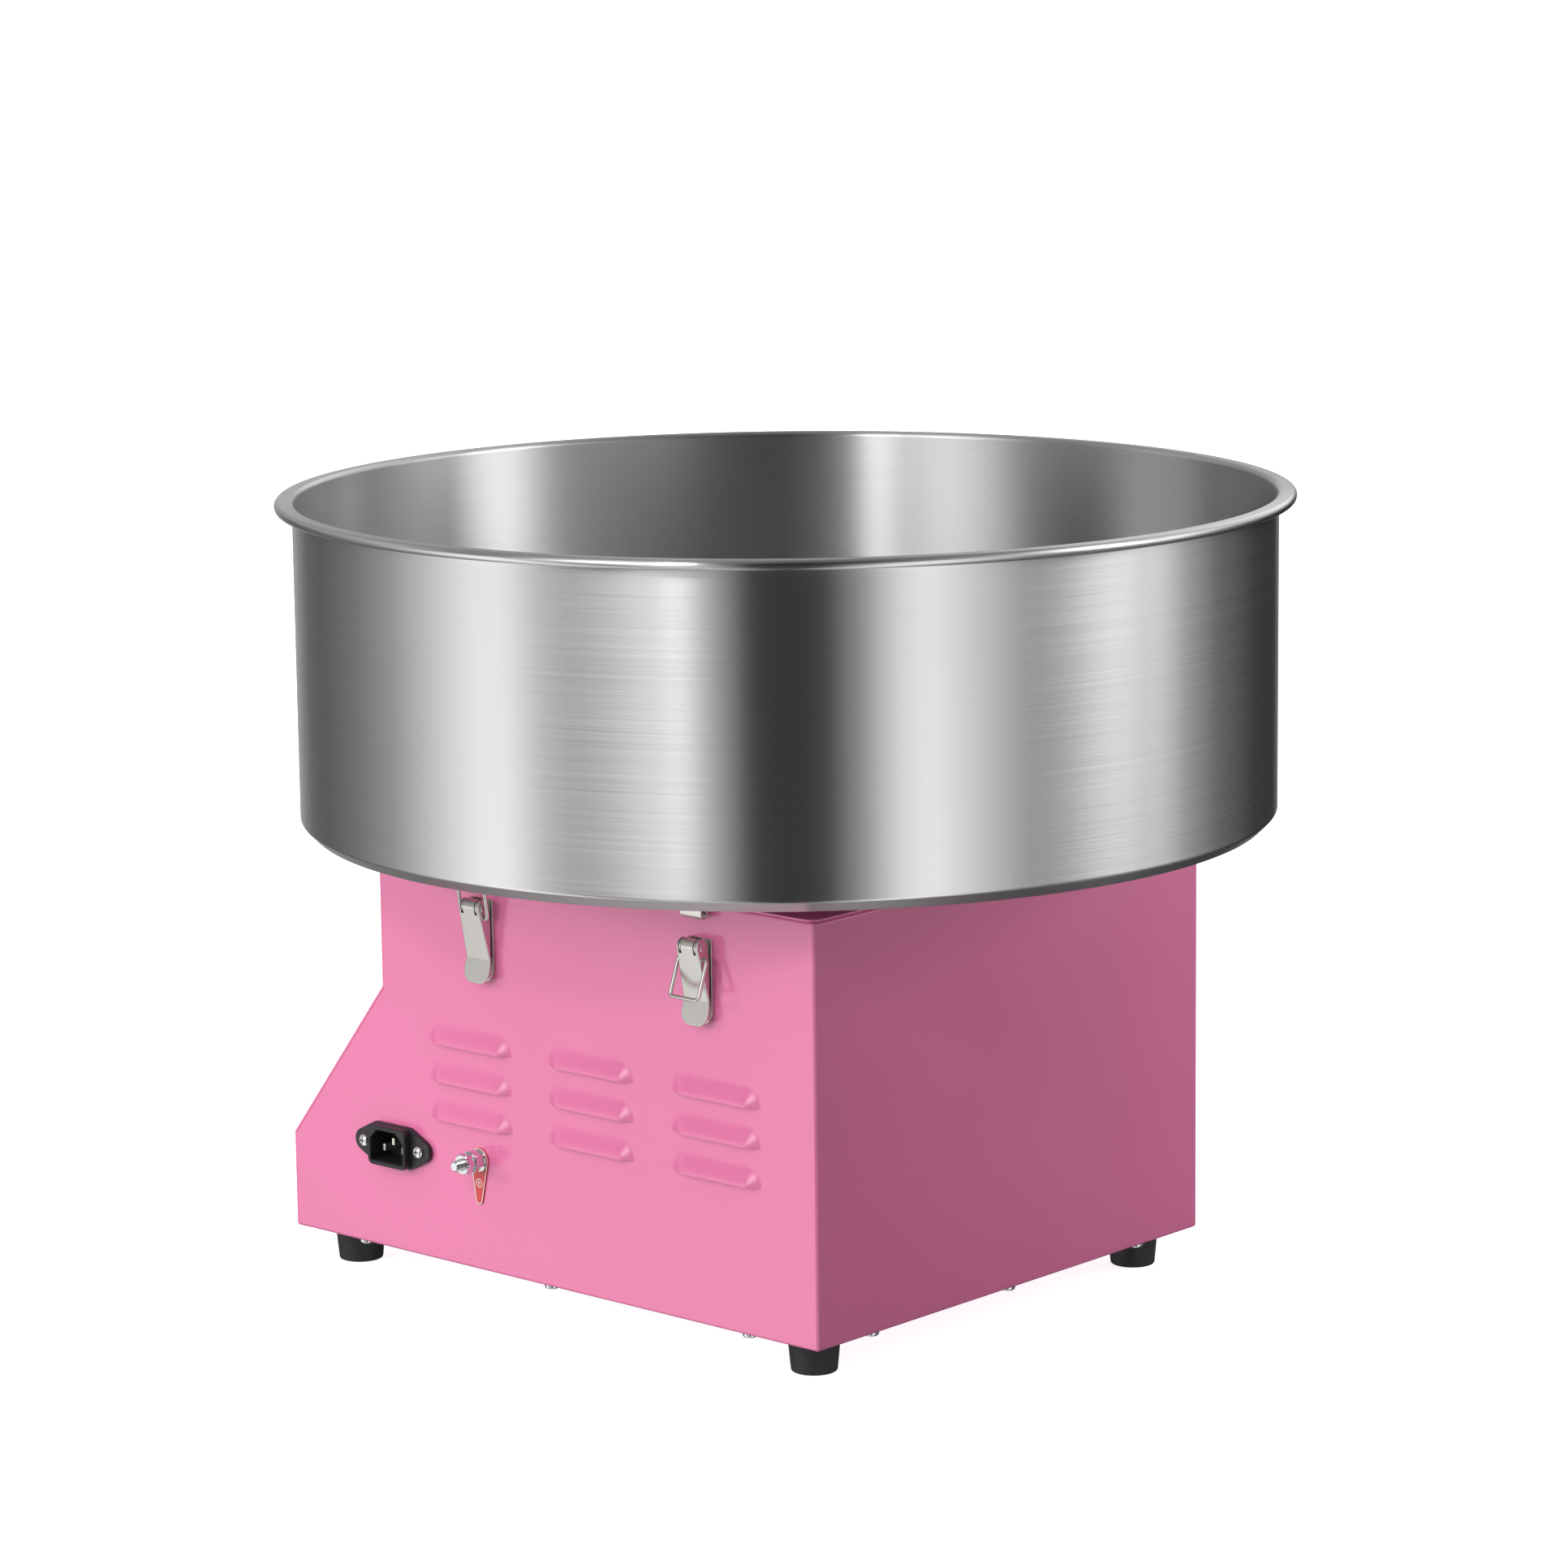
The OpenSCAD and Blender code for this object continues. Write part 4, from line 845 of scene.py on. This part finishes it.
PLACES = {(row, side): on_side(SIDES[side], LATCH_Y[row]) for row in LATCH_Y for side in SIDES}
make("latch_base_plates", copies(latch_base(), PLACES.values()), "case", "latch_nickel", "latch_bases")
make("latch_pins_and_rivets", copies(rivets(), PLACES.values()), "case", "latch_nickel", "latch_rivets")
make("bowl_hook_strips", copies(hook(), PLACES.values()), "bowl", "latch_nickel", "bowl_hooks")
lever_shape, bail_shape = lever(), bail()
for (row, side), spot in PLACES.items():
    where = f"{row}_{side}"
    lever_body, bail_body = f"latch_lever_{where}", f"latch_bail_{where}"
    make(f"lever_{where}", lever_shape.moved(spot), lever_body, "latch_nickel", lever_body)
    pivot = spot @ at(BAIL_PIVOT[0], 0, BAIL_PIVOT[1]) @ turn(BAIL_ANGLE[row], "Y")
    make(f"bail_{where}", bail_shape.moved(pivot), bail_body, "latch_nickel", bail_body)


# Bowl --------------------------------------------------------

def bowl():
    """Spun bowl: collar, seat, floor, wall and rolled rim as one sheet turned round the Z axis."""
    roll = 1.6
    rim_z = RIM_TOP - BOWL_T - roll
    nose = RIM_R - BOWL_T - roll
    seat = PLATE_TOP + 0.1
    corners = [(94, 262), (94, seat), (138, seat), (149, BOWL_FLOOR), (WALL_R - CHAMFER, BOWL_FLOOR),
               (WALL_R, BOWL_FLOOR + CHAMFER), (WALL_R, rim_z)]
    path = rounded(corners, [0, 3, 5, 5, 2.2, 2.2, 0], 6, closed=False)
    path += arc((WALL_R + roll, rim_z), roll, 180, 90, 6)[1:] + arc((nose, rim_z), roll, 90, -90, 14)
    path += [(WALL_R + 0.8, rim_z - roll)]
    return lathe(sheet_outline(path, BOWL_T), 288, closed=True)


make("spun_bowl", bowl(), "bowl", "bowl_steel", "bowl", smooth=40)


# Spinning head -----------------------------------------------

pan = [(5, PAN_Z - 16), (13, PAN_Z - 16), (18, PAN_Z), (HEAD_R - 0.8, PAN_Z)]
pan += arc((HEAD_R - 0.8, PAN_Z + 0.8), 0.8, -90, 0, 4)[1:] + [(HEAD_R, PAN_Z + 6.4)]
pan += arc((HEAD_R - 0.6, PAN_Z + 6.4), 0.6, 0, 90, 3)[1:] + [(HEAD_R - 2.5, PAN_Z + 7)]
pan += arc((HEAD_R - 3.7, PAN_Z + 3.2), 1.2, 0, -90, 4) + [(5, PAN_Z + 2)]
make("spun_pan", lathe(pan, 160, closed=True), "head", "cast_aluminium", "spinner_pan")
lip = [(23, LID_Z + 9), (23, LID_Z + 2.5), (26, LID_Z), (HEAD_R - 3, LID_Z), (HEAD_R, LID_Z - 3)]
lip = rounded(lip, [0, 1.5, 1.5, 2, 0], 5, closed=False)
make("spun_lid", lathe(sheet_outline(lip, 1.5), 160, closed=True), "head", "cast_aluminium", "spinner_lid")
reach = LID_Z - PAN_Z + 1.5
LID_SCREWS = [turn(a, "Z") @ at(34) for a in (30, 150, 270)]
lid_set = pan_head(3.6, 2.6, 2, reach + 5).moved(at(0, 0, LID_Z + 1.5))
lid_set.add(hex_nut(7, 2.02, PAN_Z - 3.2, PAN_Z)).add(washer(3.4, 2.02, PAN_Z + 2, LID_Z))
make("lid_fixings", copies(lid_set, LID_SCREWS), "head", "zinc_plate", "lid_screws")


# Controls ----------------------------------------------------

meter = on_slope()
window = rectangle(56, 38, 2, centre=(0, 4))
housing = plate(rectangle(64, 54, 3), 0, 9, 1.0, [window], foot=0.2)
housing.add(plate(rectangle(62, 52, 3), 0.3, 2, 0.1))
housing.add(lathe([(0, -30), (24, -30), (25, -29), (25, 1), (0, 1)], 96))
make("voltmeter_body", housing.moved(meter), "case", "gloss_black", "voltmeter_case")
dial = plate(rectangle(55.6, 37.6, 1.8, centre=(0, 4)), 2, 2.6, 0.1)
dial.add(lathe([(0, 2), (0.75, 2), (0.75, 5.8), (0.5, 6), (0, 6)], 24), at(0, NEEDLE_Y))
make("voltmeter_scale_plate", dial.moved(meter), "case", "dial_white", "voltmeter_dial")
lens = plate(rectangle(55.8, 37.8, 1.9, centre=(0, 4)), 7.2, 8.4, 0.3)
make("voltmeter_window", lens.moved(meter), "case", "lens_clear", "voltmeter_lens")

ink_low, ink_high = 2.58, 2.66  # ink stands just proud of the scale plate's face at 2.6
SCALE_R = 27  # inner radius of the scale's lines
scale = Shape()
for i in range(31):
    tall, wide = ((4.2, 0.5), (2.2, 0.3))[i % 5 > 0]
    x, outer = wide / 2, SCALE_R + tall
    line = [(-x, SCALE_R), (x, SCALE_R), (x, outer), (-x, outer)]
    scale.add(plate(line, ink_low, ink_high, 0.02), at(0, NEEDLE_Y) @ turn(45 - 3 * i, "Z"))
ring = arc((0, NEEDLE_Y), SCALE_R + 0.2, 135, 45, 48) + arc((0, NEEDLE_Y), SCALE_R - 0.2, 45, 135, 48)
scale.add(plate(ring[::-1], ink_low, ink_high, 0.02))
make("voltmeter_scale", scale.moved(meter), "case", "needle_black")

hub = lathe([(0.8, 2.9), (2.2, 2.9), (2.4, 3.1), (2.4, 5.1), (2.2, 5.3), (0.8, 5.3)], 40, closed=True)
hub.add(plate([(-0.9, -4), (0.9, -4), (0.25, 25), (-0.25, 25)], 4, 4.5, 0.1), turn(45, "Z"))
make("voltmeter_pointer", hub.moved(meter @ at(0, NEEDLE_Y)), "voltmeter_needle", "needle_black",
     "voltmeter_needle")

bezel = plate(rectangle(25.4, 31, 1.6), 0, 2, 0.7, [rectangle(19, 25, 0.8)], foot=0.1)
bezel.add(plate(rectangle(22.4, 28.4, 1), -24, 0.1, 0.05, [rectangle(19, 25, 0.8)]))
bezel.add(plate(rectangle(20, 26, 0.8), -24, -11, 0.05))
for y in (-9, 0, 9):
    bezel.add(plate(rectangle(6.3, 0.8, 0.3, 3), -33, -23, 0.15), at(0, y))
frames = copies(bezel, [on_slope(x) for x in SWITCH_X.values()])
make("switch_frames", frames, "case", "gloss_black", "switch_bodies")


def rocker():
    """Rocker with a dished face, and the pins that it turns on."""
    middle, rise = ROCKER_FACE
    top = [(ROCKER_HALF - 2 * ROCKER_HALF * i / 16, middle + rise * ((i - 8) / 8) ** 2) for i in range(17)]
    outline = [(-ROCKER_HALF, -3)] + arc((0, -1), 5.5, 200, 340, 8) + [(ROCKER_HALF, -3)] + top
    body = along_x(plate(outline, -9, 9, 0.7))
    return body.add(lathe([(0, -10.5), (1.5, -10.5), (1.5, 10.5), (0, 10.5)], 24), turn(90, "Y"))


MARK_LOW, MARK_MIDDLE, MARK_HIGH = 6.0, 6.06, 6.12  # heights at which the marks are drawn flat


def on_rocker(v):
    """Lays a mark that is drawn flat on a rocker's dished face."""
    middle, rise = ROCKER_FACE
    return Vector((v.x, v.y, v.z - MARK_MIDDLE + middle + rise * (v.y / ROCKER_HALF) ** 2))


rocker_shape = rocker()
for name, colour in (("power", "rocker_red"), ("heat", "rocker_green")):
    rest = on_slope(SWITCH_X[name]) @ at(0, 0, ROCKER_Z) @ turn(-ROCKER_TILT, "X")
    switch = f"{name}_rocker"
    make(f"{name}_switch_rocker", rocker_shape.moved(rest), switch, colour, switch)
    marks = plate(rectangle(0.9, 4.2, 0.3, 3), MARK_LOW, MARK_HIGH, 0.03).moved(at(0, 7))
    marks.add(band(circle(2.1, 36), 0.6, MARK_LOW, MARK_HIGH), at(0, -7))
    make(f"{name}_switch_marks", marks.mapped(on_rocker).moved(rest), switch, "dial_white")

knob_place = on_slope(KNOB_X)


def knob():
    """Heat knob: a skirt, and a grip with twelve ribs."""
    skirt = [(3, 1), (19, 1), (19, 4)] + [(18.6, 4.7), (17.6, 5.3), (16.5, 5.5), (3, 5.5)]
    grip = []
    for d, z in [(0, 5.3)] + [(d, 16 + h) for d, h in quarter(1.0, 4)] + [(9, 17)]:
        ring_points = []
        for i in range(192):
            a = 2 * pi * i / 192
            rib = 1.3 * max(cos(12 * a), -0.35)
            reach = max(12.2 + rib - d, 1) if d < 9 else 3
            ring_points.append((reach * cos(a), reach * sin(a), z))
        grip.append(ring_points)
    body = lathe(skirt, 96, closed=True).add(loft(grip, caps=True))
    return body.add(plate(circle(3.4, 48), 16.4, 17.02, 0.1))


make("heat_control_knob", knob().moved(knob_place), "heat_knob", "black_plastic", "heat_knob")
pointer = plate(rectangle(2.4, 22, 1, 4), 16.6, 17.8, 0.4).moved(turn(150, "Z"))
make("heat_knob_pointer", pointer.moved(knob_place), "heat_knob", "dial_white")
make("heat_dial", plate(circle(27, 128), 0, 0.5, 0.15, [circle(3.6, 32)]).moved(knob_place),
     "case", "stainless", "dial_plate")
make("heat_locknut", hex_nut(10, 3.52, 0.5, 2.5).moved(knob_place), "case", "zinc_plate", "heat_nut")
dial_marks = Shape()
for i in range(11):
    size = 1.0 + 0.12 * i
    dial_marks.add(plate(circle(size / 2, 20), 0.49, 0.56, 0.02), turn(-120 - 24 * i, "Z") @ at(0, 23.5))
make("heat_dial_marks", dial_marks.moved(knob_place), "case", "needle_black")


# Stage, light and camera -------------------------------------

# The camera's angles, lens and place were solved outside this script. Its place is in metres.
VIEW_AZIMUTH = radians(132.067)
VIEW_HEIGHT = radians(10.475)
VIEW_ROLL = radians(-0.676)
VIEW_LENS = 120.66
VIEW_FROM = (1.9792, 1.7830, 0.7522)
back = Vector((sin(VIEW_AZIMUTH) * cos(VIEW_HEIGHT), -cos(VIEW_AZIMUTH) * cos(VIEW_HEIGHT), sin(VIEW_HEIGHT)))
right = (-back).cross(Vector((0, 0, 1))).normalized()
up = right.cross(-back)
across = right * cos(VIEW_ROLL) + up * sin(VIEW_ROLL)
upward = up * cos(VIEW_ROLL) - right * sin(VIEW_ROLL)
camera_data = bpy.data.cameras.new("camera")
camera_data.lens = VIEW_LENS
camera_data.sensor_width = 36
camera = bpy.data.objects.new("camera", camera_data)
camera.matrix_world = Matrix((across, upward, back)).transposed().to_4x4()
camera.matrix_world.translation = VIEW_FROM
bpy.context.scene.collection.objects.link(camera)
bpy.context.scene.camera = camera

floor_mesh = bpy.data.meshes.new("floor")
FLOOR_SIDE = 60.0  # metres
floor_mesh.from_pydata([(x, y, 0) for x, y in rectangle(FLOOR_SIDE, FLOOR_SIDE)], [], [(0, 1, 2, 3)])
floor = bpy.data.objects.new("floor", floor_mesh)
bpy.context.scene.collection.objects.link(floor)
pale = Nodes("pale_floor", Roughness=0.8, Emission_Color=(1, 1, 1, 1))
seen = pale.node("LightPath").outputs["Is Camera Ray"]
glow = pale.node("MapRange", {"To Min": 0.1, "To Max": 0.85}, {"Value": seen}).outputs["Result"]
tint = pale.node("MapRange", {"To Min": 0.25, "To Max": 0.94}, {"Value": seen}).outputs["Result"]
patchy = pale.maths("MULTIPLY", tint, pale.between(pale.noise(0.5, 2), 0.98, 1.0))
pale.set(Base_Color=patchy, Emission_Strength=glow)
floor_mesh.materials.append(pale.material)
floor.visible_glossy = False

# The studio is four rings of soft panels round the object: low, level, high and overhead. Each is
# written as brightness against the angle round the Z axis, anticlockwise from where the camera
# stands. Shiny surfaces reflect these rings, and FILL lights the matt ones from all round. The
# stops were set by hand for how the bowl's bands look from the camera.
LEVEL = [(-180, 0.65), (-162, 0.36), (-148, 0.15), (-136, 0.13), (-118, 0.24), (-104, 0.44),
         (-92, 0.75), (-76, 1.3), (-68, 1.25), (-58, 0.62), (-50, 0.26), (-42, 0.15), (-33, 0.7),
         (-25, 0.8), (-18, 0.6), (-9, 0.07), (0, 0.06), (9, 0.08), (17, 0.47), (26, 1.3), (33, 1.55),
         (44, 1.02), (56, 0.44), (68, 0.6), (84, 1.9), (92, 2.15), (104, 0.75), (116, 0.18),
         (138, 0.025), (160, 0.02), (180, 0.65)]
HIGH = [(-180, 0.4), (-140, 0.4), (-118, 0.55), (-102, 0.65), (-90, 0.25), (-76, 0.05), (-64, 0.4),
        (-52, 2.1), (-42, 4.3), (-28, 2.4), (-18, 0.5), (-8, 0.0), (26, 0.0), (38, 0.3), (50, 0.7),
        (62, 1.2), (71, 3.7), (81, 5.0), (86, 3.4), (91, 0.5), (97, 1.8), (106, 1.3), (122, 0.8),
        (140, 0.9), (166, 1.3), (180, 0.4)]
ZENITH = [(-180, 0.25), (-70, 0.45), (0, 0.08), (90, 0.3), (180, 0.25)]
FILL = [(-180, 0.9), (-120, 0.9), (-60, 1.05), (-20, 0.7), (10, 0.2), (60, 0.08), (120, 0.25),
        (150, 0.8), (180, 0.9)]
BRIGHTEST = 5.0  # the highest of these levels, as a ramp's colours end at 1
LOW_TO_LEVEL = (-12, -4)  # heights in degrees between which one ring fades into the next
LEVEL_TO_HIGH = (3, 12)
HIGH_TO_ZENITH = (30, 50)


def low_level(azimuth, level):
    """The low ring is brighter than the level one on the left, and dark on the right."""
    if 60 < azimuth < 125:
        return 0.15
    return 1.3 * level if -95 < azimuth < -65 else level


LOW = [(azimuth, low_level(azimuth, level)) for azimuth, level in LEVEL]
world = bpy.data.worlds.new("studio")
world.use_nodes = True
bpy.context.scene.world = world
world.node_tree.nodes.clear()


def world_node(kind, links=None, values=None, **settings):
    return new_node(world.node_tree, kind, values, links, **settings)


polar = degrees(atan2(back.y, back.x))
towards = world_node("TexCoord").outputs["Generated"]
turned = world_node("VectorRotate", {"Vector": towards}, {"Angle": radians(-polar)}, rotation_type="Z_AXIS")
dx, dy, dz = world_node("SeparateXYZ", {"Vector": turned.outputs["Vector"]}).outputs
around = world_node("Math", {0: dy, 1: dx}, operation="ARCTAN2").outputs[0]
on_ramp = world_node("MapRange", {"Value": around}, {"From Min": -pi, "From Max": pi})


def panels(levels):
    """A background whose brightness follows the angle round the Z axis."""
    node = world_node("ValToRGB", {"Fac": on_ramp.outputs["Result"]})
    while len(node.color_ramp.elements) < len(levels):
        node.color_ramp.elements.new(0.5)
    for element, (azimuth, level) in zip(node.color_ramp.elements, levels):
        element.position = (azimuth + 180) / 360
        element.color = (*[level / BRIGHTEST] * 3, 1)
    return world_node("Background", {"Color": node.outputs["Color"]}, {"Strength": BRIGHTEST}).outputs[0]


def by_height(low, high, start, end):
    """Two backgrounds, blended between two heights in degrees."""
    span = {"From Min": sin(radians(start)), "From Max": sin(radians(end))}
    blend = world_node("MapRange", {"Value": dz}, span)
    return world_node("MixShader", {0: blend.outputs["Result"], 1: low, 2: high}).outputs[0]


white = world_node("Background", values={"Color": (1, 1, 1, 1)})
rays = world_node("LightPath").outputs
rings = by_height(panels(LOW), panels(LEVEL), *LOW_TO_LEVEL)
rings = by_height(rings, panels(HIGH), *LEVEL_TO_HIGH)
rings = by_height(rings, panels(ZENITH), *HIGH_TO_ZENITH)
lit = world_node("MixShader", {0: rays["Is Glossy Ray"], 1: panels(FILL), 2: rings})
shown = world_node("MixShader", {0: rays["Is Camera Ray"], 1: lit.outputs[0], 2: white.outputs[0]})
world_node("OutputWorld", {"Surface": shown.outputs[0]})


AIM = Vector((0, 0, 0.2))  # the point that the lights face, in metres


def soft_light(name, azimuth, height, distance, size, power, glossy=False):
    """A square light that faces the object, with azimuth measured as in LEVEL."""
    data = bpy.data.lights.new(name, "AREA")
    data.shape = "SQUARE"
    data.size = size
    data.energy = power
    lamp = bpy.data.objects.new(name, data)
    a, h = radians(polar + azimuth), radians(height)
    way = Vector((cos(a) * cos(h), sin(a) * cos(h), sin(h)))
    lamp.matrix_world = way.to_track_quat("Z", "Y").to_matrix().to_4x4()
    lamp.matrix_world.translation = way * distance + AIM
    bpy.context.scene.collection.objects.link(lamp)
    lamp.visible_glossy = glossy


soft_light("key_left", -50, 12, 3.0, 1.6, 31)
soft_light("side_left", -88, 12, 3.0, 0.35, 11)
soft_light("fill_right", 100, 6, 0.9, 0.4, 3.2)
soft_light("overhead", 0, 85, 3.0, 2.0, 14)
soft_light("spark", -25, 33, 2.5, 0.28, 7, glossy=True)
bpy.context.scene.view_settings.view_transform = "Standard"
